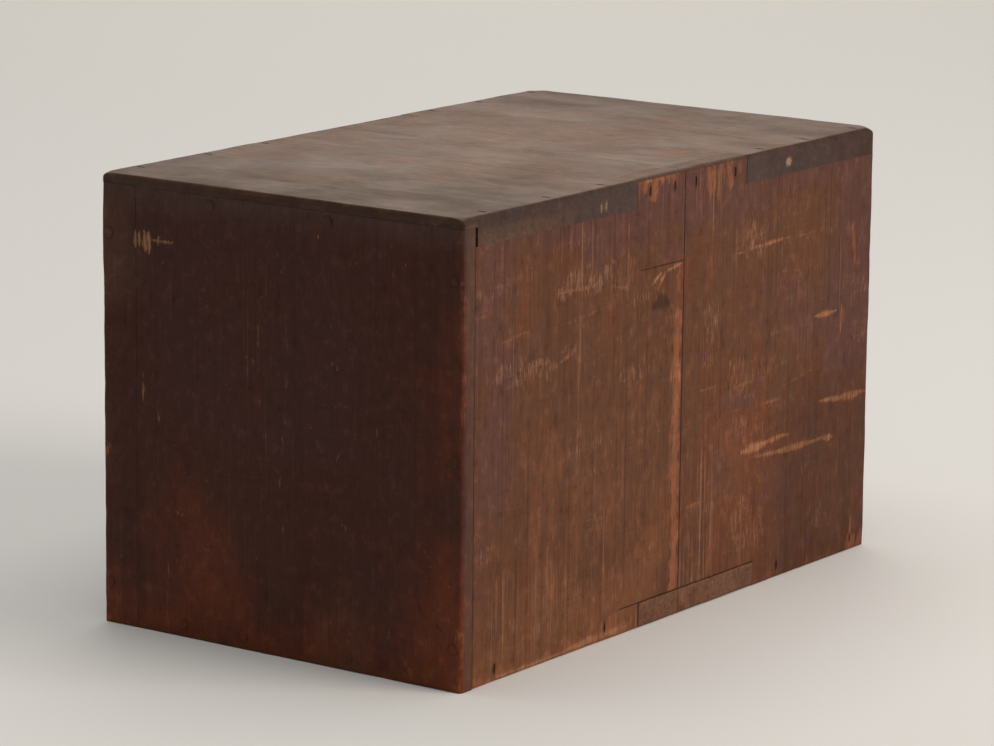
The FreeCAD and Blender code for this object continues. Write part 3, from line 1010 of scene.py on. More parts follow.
# %% Wear of the top
TOP_SCRAPES = [
    # across, forward, across, forward, half width, strength
    (100, 126, 110, 136, 1.0, 0.6),
    (128, 18, 140, 26, 1.2, 0.5),
    (60, 60, 92, 64, 1.4, 0.35),
]
TOP_RUBS = [
    # from, to, forward from, forward to, strength
    (0, 3, 0, 5, 2.0),
    (0, 6, 20, 45, 0.6),
    (262, 270, 25, 45, 0.5),
    (0, 5, 90, 110, 0.5),
    (0, 4, 330, 360, 0.5),
]
TOP_DIRT = [
    (0, 45, 229, 232, 0.6),
    (30, 46, 222, 227, 0.7),
    (226, 238, 243, 252, 0.5),
    (124, 150, 88, 150, 0.3),
    (198, 212, 75, 135, 0.35),
    (60, 66, 300, 312, 0.4),
]
print(len(TOP_SCRAPES), "scrapes and", len(TOP_RUBS), "rubbed places on the top")

# %% [markdown]
# The tones of the top are broad: cool near its back and front edges, thin and dusty in the middle. A few
# places are still polished and shine when they are seen at a low angle. The cool rows at the edges are also
# painted shade for their weaker sheen, and the thin place over the brightest polish is partly a painted
# sheen.

# %% Tones of the top
TOP_WARM = [(28, 55, 265, 300, 1.0), (100, 120, 216, 230, 0.8), (105, 125, 262, 300, 0.5)]
TOP_COOL = [
    (150, 205, 60, 160, 0.8),
    (20, 110, 60, 140, 0.4),
    # the back and front rows: a cool tone, and darker as painted shade where the sheen is weak
    (-20, 290, -20, 90, 0.9),
    (-20, 290, 390, 480, 0.7),
]
TOP_THIN_AND_SHEEN = [
    (100, 170, 120, 240, 0.9),
    # partly painted sheen: lighter where the polished place shines most
    (110, 205, 235, 292, 0.9),
    (110, 180, 300, 360, 0.6),
    (60, 110, 330, 420, 0.4),
    (30, 70, 230, 300, 0.3),
    (60, 210, 55, 105, 0.6),
]
TOP_SHEEN = [(112, 204, 240, 290, 1.0), (112, 204, 145, 200, 0.6), (20, 230, 60, 105, 0.5)]
FLAT_RISE = (40, 120)  # forward, where the smoother middle of the top begins
FLAT_FALL = (330, 430)  # and where it ends


def top_matt(uu, vv, seed):
    """How matt the top is: fully at its back and front, patchy on the flat, less where it is polished."""
    flat = rise(*FLAT_RISE, vv) * rise(-FLAT_FALL[1], -FLAT_FALL[0], -vv)
    patchy = 1.2 * (cloud(uu, vv, 34, 26, seed + 10) - 0.5)
    return 1 - flat + patchy - patches(uu, vv, TOP_SHEEN, 16.0, seed + 11, wander=2.0)


print(len(TOP_SHEEN), "polished places on the top")

# %% [markdown]
# The ends of the boards show as grey end grain on the sides, browned low down towards the back and
# chipped pale in three places. The back edge is a thin lip over the back panel, as dark as the panel.
# Both are marked as end grain, and how deep a point lies in the board says how brown or dark it is.

# %% End grain and lip
RIM = 2.4
LIP_RIM = 1.6
TOP_FLECKS = [
    # forward, share of the thickness, half width, half height as a share
    (140, 0.6, 1.2, 0.2),
    (144.5, 0.58, 1.1, 0.24),
    (350, 0.5, 3.6, 0.2),
]
BROWNED_TO = (60, 165)  # forward, where the browning fades out


def end_grain(uu, vv, share, seed):
    """How far a point shows end grain, how far that has browned, and the pale chips on the left."""
    from_end = np.minimum(uu, WIDTH - uu)
    ends = np.where(from_end < ON_EDGE, 1.0, 1 - rise(0, RIM, from_end - 0.2 * RIM))
    chips = [rise(1.5, 0.6, np.hypot((vv - p) / w, (share - s) / h)) for p, s, w, h in TOP_FLECKS]
    ragged = vv + 50 * (cloud(uu, vv, 30, 30, seed + 12) - 0.5)
    browned = 0.45 * rise(0.1, 0.6, share) * (1 - rise(*BROWNED_TO, ragged))
    return ends * (1 - browned), browned, np.max(chips, axis=0) * (uu < ON_EDGE)


def lip_dark(uu, vv, share, seed):
    """How dark the lip is: along the back edge with a wandering border, more towards its underside."""
    lip = 1 - rise(0, 2 * LIP_RIM, vv + 2.5 * cloud(uu, vv, 12, 12, seed + 9) - 1)
    return lip * (0.5 + 0.4 * rise(0, 3, share * LIP_T))


print("the lip is", round(LIP_T, 1), "mm thick and reaches", LIP_REACH, "mm")

# %% [markdown]
# Corners wear most. In plan each is rounded by moving the points of a small square at the corner on to a
# quarter disc, and knocks have sunk it too, more at the front than at the back.

# %% Corners of the top
CORNER = 2.5
CORNER_REACH = 5.0
KNOCKED = {"rear": 1.6, "front": 2.8}
LIP_SET_IN = 0.7


def rounded_plan(u, v):
    """Rounds the four corners of the top in plan and sets its lip in. In each corner square a place (a,
    b), counted 0 to 1 from its inner corner, moves to (a sqrt(1 - b^2 / 2), b sqrt(1 - a^2 / 2)): a
    quarter disc."""
    a = np.clip(np.abs(u - WIDTH / 2) - WIDTH / 2 + CORNER, 0, None) / CORNER
    b = np.clip(np.abs(v - DEPTH / 2) - DEPTH / 2 + CORNER, 0, None) / CORNER
    in_u = np.sign(u - WIDTH / 2) * CORNER * a * (1 - np.sqrt(1 - b * b / 2))
    in_v = np.sign(v - DEPTH / 2) * CORNER * b * (1 - np.sqrt(1 - a * a / 2))
    return u - in_u, v - in_v + LIP_SET_IN * (1 - rise(0, RIM, v))


print("a corner of the top moves in to", np.round(rounded_plan(0.0, DEPTH), 2).tolist())

# %% [markdown]
# Each board of the top has a notch at both ends for the fingers of the sides, and the rear one has a step
# below for the back panel.

# %% A board of the top
TOP_EDGE_NAILS = (0.1, 0.49, 0.83)
TOP_PLANING = {"swells": (0.4, 110, 60), "dents": (0.4, 33, 21, 0.6)}
TOP_SCRAPE_DEPTH = 0.3
TOP_SEAM_R = 0.7 * TIGHT
LEVEL_SLOT = (NAIL_HALF[1], NAIL_HALF[0])


def top_half(half, pitch, seed):
    """One board of the top: notches for the sides' fingers, worn rim, nail slots and the back lip."""
    front = half == "front"
    low, high = (SEAM, DEPTH) if front else (0.0, SEAM)
    t_end = TOP_FINGER[1] if front else TOP_FINGER[0]
    horn = (t_end, high) if front else (low, t_end)
    rim = DEPTH if front else 0.0
    start, run = (DEPTH, t_end - DEPTH) if front else (BACK_T, t_end - BACK_T)
    rows = [start + share * run for share in TOP_EDGE_NAILS]
    nails = [(u, v) for u in (SIDE_T / 2, WIDTH - SIDE_T / 2) for v in rows]
    edges = [(0, rim, WIDTH, rim, RIM if front else LIP_RIM), (0, SEAM, WIDTH, SEAM, TOP_SEAM_R)]
    edges += [(u_end, horn[0], u_end, horn[1], RIM) for u_end in (0.0, WIDTH)]
    slot_lines = nail_lines(nails[:: len(rows)], 0, LEVEL_SLOT[0])
    u = grid_lines(0, WIDTH, pitch, (SIDE_T, WIDTH - SIDE_T), slot_lines)
    v = grid_lines(low, high, pitch, (t_end,), (LIP_REACH, *nail_lines(nails, 1, LEVEL_SLOT[1])))

    def solid(cu, cv):
        return ((cu > SIDE_T) & (cu < WIDTH - SIDE_T)) | ((cv < t_end) != front)

    def outer(uu, vv):
        from_corner = np.hypot(np.minimum(uu, WIDTH - uu), vv - rim)
        knocks = KNOCKED[half] * np.exp(-((from_corner / CORNER_REACH) ** 2))
        cut = TOP_SCRAPE_DEPTH * strokes(uu, vv, TOP_SCRAPES) + knocks
        face_depth = edge_drop(uu, vv, edges, seed) + planed(uu, vv, **TOP_PLANING, seed=seed)
        return face_depth + cut + slots(uu, vv, nails, LEVEL_SLOT)

    def inner(uu, vv):
        return np.where(vv < LIP_REACH, LIP_T, TOP_T) - quarter_round(DEPTH - vv, FRONT_EASE)

    def marks(uu, vv, share):
        ends, browned, chips = end_grain(uu, vv, share, seed)
        lip = lip_dark(uu, vv, share, seed)
        rubbed = np.maximum(edge_rub(uu, vv, edges, 0.9, seed + 3), patches(uu, vv, TOP_RUBS, 3.0))
        blots = blotches(uu, vv, 26, 9, seed + 5, 0.6, 0.8) * ends
        dirt = np.maximum(0.2 * crevices(uu, vv, edges, 0.7), stains(uu, vv, nails, 6.0, 2.3))
        return {
            "bare": 0.25 * rubbed * (1 - ends) * (1 - lip) + 0.4 * blots,
            "pale": np.maximum(0.6 * strokes(uu, vv, TOP_SCRAPES), 0.8 * chips),
            "lined": 0.4 * blotches(uu, vv, 90, 40, seed + 8, 0.3, 0.8),
            "matt": top_matt(uu, vv, seed),
            "warm": patches(uu, vv, TOP_WARM, 9.0, seed + 4) + 0.8 * browned,
            "cool": patches(uu, vv, TOP_COOL, 20.0, seed + 6) * (1 - browned),
            "thin": patches(uu, vv, TOP_THIN_AND_SHEEN, 20.0, seed + 7),
            "grime": np.maximum(dirt, patches(uu, vv, TOP_DIRT, 6.0)),
            "end": np.maximum(ends * (1 - chips), lip),
        }

    face = (Z, HEIGHT, -1)
    looks = (solid, outer, inner, marks)
    add_board("top_board_" + half, face, "case", top_cedar, u, v, *looks, layers=8, plan=rounded_plan)


for half in ("rear", "front"):
    top_half(half, pitch=1.8, seed=51)

# %% [markdown]
# The back is a wide board and a narrow strip, laid over the back edges of the case and held by round
# wooden plugs: two at the top, three at the foot and three down each side. On the back, places run across
# from the left side and up from the floor.

# %% Places of the plugs
PLUG_R = 3.5
PLUG_INSET = 5.5
TOP_PLUGS = (0.363, 0.689)
FOOT_PLUGS = (0.304, 0.596, 0.767)
SIDE_PLUGS = (0.095, 0.5, 0.89)
PLUGS = [(share * WIDTH, (CEILING + PANEL_H) / 2) for share in TOP_PLUGS]
PLUGS += [(share * WIDTH, FLOOR_T / 2) for share in FOOT_PLUGS]
PLUGS += [(u, share * PANEL_H) for u in (PLUG_INSET, WIDTH - PLUG_INSET) for share in SIDE_PLUGS]
print(len(PLUGS), "plugs in the back")

# %% [markdown]
# One hatched scrape near the top shows pale wood. The rest are single knocks and long faint lines.

# %% Scrapes on the back
BACK_SCRAPES = [
    # across, up, across, up, half width, strength
    (214, 242, 232, 242, 1.4, 1.0),
    (217, 243.5, 217.3, 240.5, 1.4, 0.8),
    (220.5, 243.5, 220.8, 240.6, 1.4, 0.9),
    (225.6, 245, 225.6, 239.6, 1.5, 1.1),
    (233.4, 247.5, 233, 233.5, 2.0, 1.4),
    (236.6, 247.2, 236.4, 233, 1.9, 1.4),
    (240.7, 246, 240.7, 237.5, 1.6, 1.2),
    (243.6, 247, 243.8, 236.5, 1.7, 1.4),
    (127, 192, 133.5, 100, 1.8, 0.5),
    (131, 95, 131, 68, 1.2, 0.5),
    (150, 206, 149.5, 170, 1.6, 0.48),
    (88, 180, 97, 185.5, 1.3, 0.75),
    (86, 138, 91, 126, 1.3, 0.7),
    (94, 112, 103, 105, 1.2, 0.45),
    (62, 152, 59, 132, 1.5, 0.65),
    (79, 126, 75, 113, 1.6, 0.45),
    (219.5, 48, 219.5, 0, 1.6, 0.65),
    (238, 160, 238.5, 134, 1.6, 0.7),
    (227, 150, 226, 128, 1.6, 0.65),
    (206, 76, 213, 77, 1.6, 0.75),
    (188, 57.5, 193, 57, 1.2, 0.8),
    (150, 60, 151.5, 57, 1.4, 0.7),
    (145, 218, 148, 217, 1.3, 0.6),
    (191.5, 219, 192, 215, 1.2, 0.7),
    (131, 236, 133, 232, 1.3, 0.6),
    (37, 225, 38.5, 220, 1.4, 0.5),
    (197, 167, 200, 165, 1.4, 0.55),
    (101, 132, 102, 130, 1.2, 0.6),
    (80, 24, 81, 22, 1.3, 0.7),
    (255, 43.5, 257, 43, 1.3, 0.6),
    (200, 103, 212, 102, 1.2, 0.5),
    (253, 95, 258, 97, 1.3, 0.45),
    (81, 88, 86, 84, 2.4, 0.5),
    (52, 30, 57, 15, 2.0, 0.45),
    (184, 98, 190, 100, 1.2, 0.4),
    (166, 87, 171, 93, 1.2, 0.45),
]
print(len(BACK_SCRAPES), "scrapes on the back")

# %% [markdown]
# Long use has left many fine scratches on the back, too many to place by hand. Chance places them, most
# of them nearly upright and short.

# %% Fine scratches
SCRATCH_COUNT = 150
SCRATCH_SPAN = (5, 265)
SCRATCH_LEAN, SCRATCH_SPREAD = 80, 30
SCRATCH_MM = 22


def scratches(seed):
    """Chance scrapes for strokes: even places over the back, a lean in degrees from level with a normal
    spread, and lengths that are mostly short."""
    rng = np.random.default_rng(seed)
    u = rng.uniform(*SCRATCH_SPAN, SCRATCH_COUNT)
    v = rng.uniform(*SCRATCH_SPAN, SCRATCH_COUNT)
    turn = np.radians(SCRATCH_LEAN + rng.normal(0, SCRATCH_SPREAD, SCRATCH_COUNT))
    reach = SCRATCH_MM * rng.uniform(0.2, 1, SCRATCH_COUNT) ** 2
    ends = [u, v, u + reach * np.cos(turn), v + reach * np.sin(turn)]
    half_width = rng.uniform(0.7, 1.1, SCRATCH_COUNT)
    strength = rng.uniform(0.25, 0.6, SCRATCH_COUNT)
    return np.stack([*ends, half_width, strength], 1).tolist()


BACK_SCRATCHES = scratches(7)
print("a fine scratch:", np.round(BACK_SCRATCHES[0], 1).tolist())

# %% [markdown]
# The back kept more of its dark finish. The red shows near the floor and the corners, and a dark band
# runs down beside the seam of the two boards.

# %% Rubbed places and tones of the back
BACK_RUBS = [
    # from, to, up from, up to, strength
    (0, 3, 224, 243, 0.7),
    (0, 3, 264, 274, 1.0),
    (0, 3, 0, 42, 0.75),
    (0, 8, 0, 4, 0.8),
    (50, 54, 240, 266, 0.35),
    (35, 41, 4, 13, 0.75),
    (236, 270, 0, 4, 0.6),
    (262, 270, 0, 8, 0.85),
    (265, 270, 104, 114, 0.8),
    (266, 270, 15, 35, 0.6),
    (208, 216, 18, 55, 0.3),
    (0, 2, 150, 200, 0.45),
]
BACK_WARM = [
    (-20, 34, 90, 258, 0.58),
    (-20, 42, -20, 84, 0.8),
    (150, 232, -20, 88, 0.95),
    (-20, 290, -20, 44, 1.0),
    (240, 290, -20, 90, 0.9),
    (165, 225, 80, 165, 0.4),
]
BACK_COOL = [(48, 236, 118, 224, 0.8), (48, 92, 20, 72, 0.8), (40, 290, 200, 290, 0.8)]
BACK_THIN = [
    (45, 120, -30, 40, 0.5),
    (235, 290, 205, 290, 0.9),
    (250, 290, 95, 205, 0.65),
    (-20, 10, 200, 290, 0.4),
]
BACK_DIRT = [(241, 248, 0, 108, 0.35), (242, 247, 108, 262, 0.25), (4, 10, 130, 146, 0.5)]
BACK_SEED = 71
DULL_BAND = (20, 2)  # below the lip: where the dull band starts, where it is full


def back_tones(uu, vv):
    """Warm, cool and thinned places of the finish, and the dull band under the lip."""
    ragged = vv + 9 * (cloud(uu, vv, 30, 30, BACK_SEED + 8) - 0.5)
    return {
        "warm": patches(uu, vv, BACK_WARM, 38.0, BACK_SEED + 4, wander=1.5),
        "cool": patches(uu, vv, BACK_COOL, 28.0, BACK_SEED + 6, wander=2.0),
        "thin": patches(uu, vv, BACK_THIN, 20.0, BACK_SEED + 7, wander=2.0),
        "end": 0.8 * rise(PANEL_H - DULL_BAND[0], PANEL_H - DULL_BAND[1], ragged),
    }


print(len(BACK_RUBS), "rubbed places on the back")

# %% [markdown]
# Both boards are plain rectangles, worn at the corners of the chest and at the foot. Just under the lip
# the panel comes out level with it, so that no ledge shows there.

# %% The back panel
FACE_SET_IN = 0.3
BACK_PLANING = {"swells": (0.3, 60, 110), "dents": (0.3, 21, 33, 0.62)}
BACK_SCRAPE_DEPTH = 0.3
UNDER_LIP = (9, 1)  # below the lip: where the panel starts to come out, where it is level
PLUG_SHADOW_LINE = 0.85  # half width of the dark ring round a plug: painted shadow, with dirt in the joint
PANEL_SEAM_R = 0.2 * TIGHT
BACK_PITCH = 1.25


def back_marks(uu, vv, share, edges, plugs):
    """All marks of a board of the back: tones, scrapes, rubs and a ring of painted shadow and dirt round
    each plug.
    """
    scraped = np.maximum(0.8 * strokes(uu, vv, BACK_SCRAPES), 0.7 * strokes(uu, vv, BACK_SCRATCHES))
    bare = np.maximum(0.8 * edge_rub(uu, vv, edges, 0.9, BACK_SEED + 3), patches(uu, vv, BACK_RUBS, 2.0))
    dirt = np.maximum(0.2 * crevices(uu, vv, edges, 0.7), patches(uu, vv, BACK_DIRT, 4.0))
    from_plug = np.min([np.abs(np.hypot(uu - a, vv - b) - PLUG_R) for a, b in plugs], axis=0)
    tones = back_tones(uu, vv)
    inside = share > SKIN
    return tones | {
        "bare": np.where(inside, 0.2, 1) * np.maximum(bare, 0.7 * scraped),
        "pale": 0.95 * scraped,
        "scuffed": 0.35 * blotches(uu, vv, 40, 40, BACK_SEED + 5, 0.45, 0.8),
        "thin": np.maximum(tones["thin"], np.where(inside, 0.7, 0)),
        # painted shadow round each plug's proud head, with some dirt in its joint
        "grime": np.maximum(dirt, 0.42 * np.exp(-((from_plug / PLUG_SHADOW_LINE) ** 2))),
        "end": np.where(vv < ON_EDGE, 1.0, tones["end"]),
    }


def back_board(node, low, high):
    """One board of the back panel: worn at the chest's corners and the foot, tight under the lip."""
    edges = [(low, 0, high, 0, FOOT)]
    edges += [(u, 0, u, PANEL_H, PANEL_SEAM_R if u == PANEL_SEAM else WORN) for u in (low, high)]
    plugs = [spot for spot in PLUGS if low < spot[0] < high]
    u = grid_lines(low, high, BACK_PITCH)
    v = grid_lines(0, PANEL_H, BACK_PITCH)

    def outer(uu, vv):
        face = FACE_SET_IN + planed(uu, vv, **BACK_PLANING, seed=BACK_SEED)
        face = face + BACK_SCRAPE_DEPTH * strokes(uu, vv, BACK_SCRAPES)
        under = rise(PANEL_H - UNDER_LIP[0], PANEL_H - UNDER_LIP[1], vv)
        return edge_drop(uu, vv, edges, BACK_SEED) + face * (1 - under) + LIP_SET_IN * under

    def marks(uu, vv, share):
        return back_marks(uu, vv, share, edges, plugs)

    face = (Y, BACK_Y, -1)
    add_board(node, face, "case", back_cedar, u, v, everywhere, outer, level(BACK_T), marks)


back_board("back_panel_wide", 0.0, PANEL_SEAM)
back_board("back_panel_narrow", PANEL_SEAM, WIDTH)

# %% [markdown]
# Round bars, knobs, plates and plugs are all one kind of form: a closed section carried along a path. A
# curve with a bevel could draw the bars, but its section only grows or shrinks as a whole. Here the two
# half widths may change apart from each other, so the rings are worked out directly. The section is a
# superellipse, which is a circle at power 2 and nearly a rectangle at higher powers. Flat caps close the
# two ends.


# %% A section carried along a path
def carried_section(path, a, b, half_a, half_b, power=2.0, sides=20, loop=False):
    """Rings of points path + half_a * s(cos t) * a + half_b * s(sin t) * b, where s keeps the sign and
    raises the size to 2 / power. Quads join each ring to the next, and a cap closes each end unless it is
    a loop."""
    path = np.asarray(path, float)
    count = len(path)
    t = np.arange(sides) * 2 * np.pi / sides
    c, s = (np.sign(w) * np.abs(w) ** (2 / power) for w in (np.cos(t), np.sin(t)))
    a, b = (np.broadcast_to(w, path.shape)[:, None] for w in (a, b))
    half_a, half_b = (np.broadcast_to(w, count)[:, None, None] for w in (half_a, half_b))
    points = path[:, None] + half_a * c[:, None] * a + half_b * s[:, None] * b
    index = np.arange(count * sides).reshape(count, sides)
    first, second = (index, np.roll(index, -1, 0)) if loop else (index[:-1], index[1:])
    quads = np.stack([first, np.roll(first, -1, 1), np.roll(second, -1, 1), second], -1).reshape(-1, 4)
    faces = quads.tolist()
    if not loop:
        faces += [index[0, ::-1].tolist(), index[-1].tolist()]
    return points.reshape(-1, 3), faces


ALONG_X, ALONG_Y, ALONG_Z = np.eye(3)
rod = carried_section([(0, 0, 0), (0, 0, 1)], ALONG_X, ALONG_Y, 1, 1)
print("a plain rod has", len(rod[1]), "faces")

# %% [markdown]
# A post or a row of plugs is several forms. They could stay apart as objects, but a piece that stands for
# one CAD node is best one mesh, with all its faces looking outward.


# %% Joining forms
def facing_out(shell):
    """The shell with its faces turned outward, so that its signed volume, a sum of the triple products of
    its corners, is positive."""
    points, faces = shell
    fans = np.array([(f[0], f[i], f[i + 1]) for f in faces for i in range(1, len(f) - 1)])
    p, q, r = (points[fans[:, i]] - points[0] for i in range(3))
    if np.einsum("ij,ij->", p, np.cross(q, r)) < 0:
        faces = [face[::-1] for face in faces]
    return points, faces


def joined(shells):
    """Several shells as one, each turned outward."""
    shells = [facing_out(shell) for shell in shells]
    starts = np.cumsum([0] + [len(points) for points, _ in shells])
    faces = [[i + start for i in face] for (_, faces), start in zip(shells, starts) for face in faces]
    return np.concatenate([points for points, _ in shells]), faces


print("two rods have", len(joined([rod, rod])[1]), "faces")

# %% [markdown]
# The plugs are turned from harder wood, driven in and cut off flush, so their end grain faces us. A
# century of shrinking has left them standing a hair proud of the panel. The dark line round each is
# painted on the panel: the shadow of that proud head, with some dirt in the joint. No two were turned to
# quite the same size.

# %% Plugs of the back panel
PLUG_PROFILE = [
    # depth below the head, share of the radius
    (6.0, 1.0),
    (0.5, 1.0),
    (0.2, 0.96),
    (0.05, 0.86),
    (0.02, 0.5),
    (0.0, 0.05),
]
PLUG_LEAST = 0.86
PLUG_FLAT = 0.9
PLUG_POWER = 2.2
PLUG_SIDES = 28
plug_wood = aged_wood("dark_end_grain_plug", Y, BACK_COLOURS, dullness=0.48, grain=0.4)


def plug(spot, size):
    """One plug: circles along Y whose radius narrows at the head, a little taller than wide."""
    depth, width = np.transpose(PLUG_PROFILE)
    path = np.array([LEFT_X + spot[0], BACK_Y, spot[1]]) - depth[:, None] * ALONG_Y
    radius = width * PLUG_R * size
    return carried_section(path, ALONG_X, ALONG_Z, radius * PLUG_FLAT, radius, PLUG_POWER, PLUG_SIDES)


sizes = PLUG_LEAST + (1 - PLUG_LEAST) * np.random.default_rng(5).random(len(PLUGS))
points, faces = joined([plug(spot, size) for spot, size in zip(PLUGS, sizes)])
plug_marks = back_tones(points[:, X] - LEFT_X, points[:, Z])
plug_marks["grime"] = 0.35 * cloud(points[:, X], points[:, Z], 9.0, 9.0, 3)
add_piece("back_plugs_turned", points, faces, "case", plug_wood, "back_plugs", plug_marks)

# %% [markdown]
# The bottom is mostly out of sight. Its middle fingers come out through the sides at the foot, where
# their end grain shows, and its underside rests on the floor.

# %% The bottom
BOTTOM_COLOURS = dict(SIDE_COLOURS, end="#6a4531", end_light="#7b5742")
BOTTOM_SWELL = 0.3
FINGER_GAP = 0.3
bottom_cedar = aged_wood("rubbed_cedar_bottom", X, BOTTOM_COLOURS)


def bottom_half(half, pitch, seed):
    """One board of the bottom: a finger out through each side, worn where it meets the floor."""
    front = half == "front"
    low, high = (SEAM, DEPTH) if front else (BACK_T + JOINT_GAP, SEAM)
    f_end = FOOT_FINGER[1] if front else FOOT_FINGER[0]
    finger = (low, f_end) if front else (f_end, high)
    tight = TIGHTEST if front else TIGHT
    edges = [(u, finger[0], u, finger[1], FOOT) for u in (0.0, WIDTH)]
    edges += [(u, f_end, u + SIDE_T, f_end, tight) for u in (0.0, WIDTH - SIDE_T)]
    edges.append((0, SEAM, WIDTH, SEAM, TIGHT))
    if front:
        edges.append((SIDE_T, DEPTH, WIDTH - SIDE_T, DEPTH, FOOT))
    u = grid_lines(0, WIDTH, pitch, (SIDE_T, WIDTH - SIDE_T))
    v = grid_lines(low, high, pitch, (f_end,))

    def solid(cu, cv):
        return ((cu > SIDE_T) & (cu < WIDTH - SIDE_T)) | ((cv > finger[0]) & (cv < finger[1]))

    def outer(uu, vv):
        return edge_drop(uu, vv, edges, seed) + BOTTOM_SWELL * cloud(uu, vv, 90, 50, seed + 1)

    def inner(uu, vv):
        on_finger = (uu < SIDE_T) | (uu > WIDTH - SIDE_T)
        return FLOOR_T - FINGER_GAP * on_finger - quarter_round(DEPTH - vv, FRONT_EASE)

    def marks(uu, vv, share):
        ends = ((uu < ON_EDGE) | (uu > WIDTH - ON_EDGE)) * 1.0
        return {
            "bare": 0.5 * edge_rub(uu, vv, edges, 0.9, seed + 3) + 0.35 * ends,
            "lined": 0.5 * cloud(uu, vv, 60, 20, seed + 4),
            "grime": 0.8 * crevices(uu, vv, edges, 0.7),
            "end": 0.8 * ends,
        }

    face = (Z, 0.0, 1)
    add_board("bottom_board_" + half, face, "case", bottom_cedar, u, v, solid, outer, inner, marks)


for half in ("rear", "front"):
    bottom_half(half, pitch=4.0, seed=91)

# %% [markdown]
# Inside, the wood was never finished. It has only darkened with air and dust to a warm tan. The drawers
# are taken as paulownia, a light wood with straight growth lines, and their pegs as a darker hardwood.
# The shelves are cedar, with the finish of the case lapping over their front edges. A function for each
# wood would only repeat the first, so the one for the case draws them all, paler and duller.

# %% Unfinished wood
RAW_COLOURS = {
    "base": "#a07854",
    "warm": "#a36f45",
    "cool": "#867061",
    "thin": "#b08a66",
    "rubbed": "#bc9873",
    "bare": "#b88d62",
    "pale": "#c8a886",
    "end": "#7a5a42",
    "end_light": "#a07e5e",
    "grime": "#38271d",
}
SHELF_COLOURS = dict(RAW_COLOURS, end="#56331f", end_light="#67402a")
PEG_COLOURS = dict(RAW_COLOURS, base="#8a6446", thin="#9a7452")
raw_long = aged_wood("unfinished_paulownia_long", Y, RAW_COLOURS, dullness=0.7)
raw_cross = aged_wood("unfinished_paulownia_cross", X, RAW_COLOURS, dullness=0.7)
shelf_cedar = aged_wood("unfinished_cedar_shelf", X, SHELF_COLOURS, dullness=0.6)
peg_wood = aged_wood("unfinished_hardwood_peg", X, PEG_COLOURS, dullness=0.6)

# %% [markdown]
# Shelves and drawer boards are plain boards with eased edges, so one function makes them all from the box
# of their CAD node. A groove or lap is a step in the inner face.

# %% Plain boards
EASED = 0.7
HAIR = 0.15
PLAIN_SWELL = 0.2
PLAIN_PITCH = 5.0


def plain_board(node, axis, inward, body, finish, seed, inner=None, steps=(), dressed=0.0):
    """A board that fills the box of its CAD node, with its outer face set in by a hair and its edges
    eased. The finish of the case laps over its front by the dressed distance."""
    low, high = np.transpose([limits(node, each) for each in (X, Y, Z)])
    thick = high[axis] - low[axis]
    across = (low[X] - LEFT_X, high[X] - LEFT_X)
    forward = (BACK_Y - high[Y], BACK_Y - low[Y])
    up = (low[Z], high[Z])
    (u0, u1), (v0, v1) = {X: (forward, up), Y: (across, up), Z: (across, forward)}[axis]
    edges = rim_of(u0, u1, v0, v1, EASED)
    u = grid_lines(u0, u1, PLAIN_PITCH, sharp=steps)
    v = grid_lines(v0, v1, PLAIN_PITCH)

    def outer(uu, vv):
        return HAIR + edge_drop(uu, vv, edges, seed) + PLAIN_SWELL * cloud(uu, vv, 70, 70, seed)

    def inner_face(uu, vv):
        cut = inner(uu, vv) if inner else 0.0
        return thick - cut - 0.5 * edge_drop(uu, vv, edges, seed + 1) * (cut == 0)

    def marks(uu, vv, share):
        dust = 0.35 * blotches(uu, vv, 50, 30, seed + 4, 0.55, 0.9)
        return {
            "end": 1 - rise(0.5, 1.5, (v1 - vv) / dressed) if dressed else 0 * vv,
            "warm": blotches(uu, vv, 60, 60, seed + 2, 0.45, 0.8),
            "lined": 0.5 * cloud(uu, vv, 60, 20, seed + 3),
            "grime": dust + 0.3 * crevices(uu, vv, edges, 1.5),
        }

    face = (axis, high[axis] if inward < 0 else low[axis], inward)
    add_board(node, face, body, finish, u, v, everywhere, outer, inner_face, marks, layers=2)


for shelf in ("shelf_lower", "shelf_upper"):
    plain_board(shelf, Z, -1, "case", shelf_cedar, seed=101, dressed=8.0)

# %% [markdown]
# Each drawer is a box: sides lapped into the front, a back let into grooves in the sides, and a bottom
# pegged on from below. The small pegs keep their CAD shape and only get a finish.

# %% Drawer boxes
DRAWERS = ("lower", "middle", "upper")
BACK_GROOVE = 3.0


def drawer_box(drawer, seed):
    """Sides, back, bottom and pegs of one drawer."""
    body, stem = "drawer_" + drawer, "drawer_" + drawer + "_"
    groove = np.sort([BACK_Y - y for y in limits(stem + "back", Y)])

    def grooved(uu, vv):
        return BACK_GROOVE * ((uu > groove[0]) & (uu < groove[1]))

    plain_board(stem + "left_side", X, 1, body, raw_long, seed, grooved, groove)
    plain_board(stem + "right_side", X, -1, body, raw_long, seed + 10, grooved, groove)
    plain_board(stem + "back", Y, -1, body, raw_cross, seed + 20)
    plain_board(stem + "bottom", Z, 1, body, raw_long, seed + 30)
    refinish(stem + "pegs", peg_wood)


for i, drawer in enumerate(DRAWERS):
    drawer_box(drawer, seed=200 + 50 * i)

# %% [markdown]
# The drawer fronts are the face of the chest. They carry the same brown finish as the case with the grain
# from side to side, worn where hands reach for the pulls and stained dark round the iron.

# %% Finish of the drawer fronts
PULL_SPAN = 64.0
FRONT_COLOURS = dict(SIDE_COLOURS, base="#583421", warm="#653822")
front_cedar = aged_wood("rubbed_cedar_front", X, FRONT_COLOURS, dullness=0.42, shine=0.25)


def pull_height(drawer):
    """Height of the pull's axis: the middle of the posts."""
    return sum(limits("drawer_" + drawer + "_pull_posts", Z)) / 2


print("pulls at", [round(pull_height(drawer), 1) for drawer in DRAWERS], "mm")

# %% [markdown]
# Behind, a front is cut back for the sides and the bottom of its drawer, so its inner face has a step.
# Fingers reach under the bail, and the places below it are warm and dirty. The iron has stained the wood
# round each post.

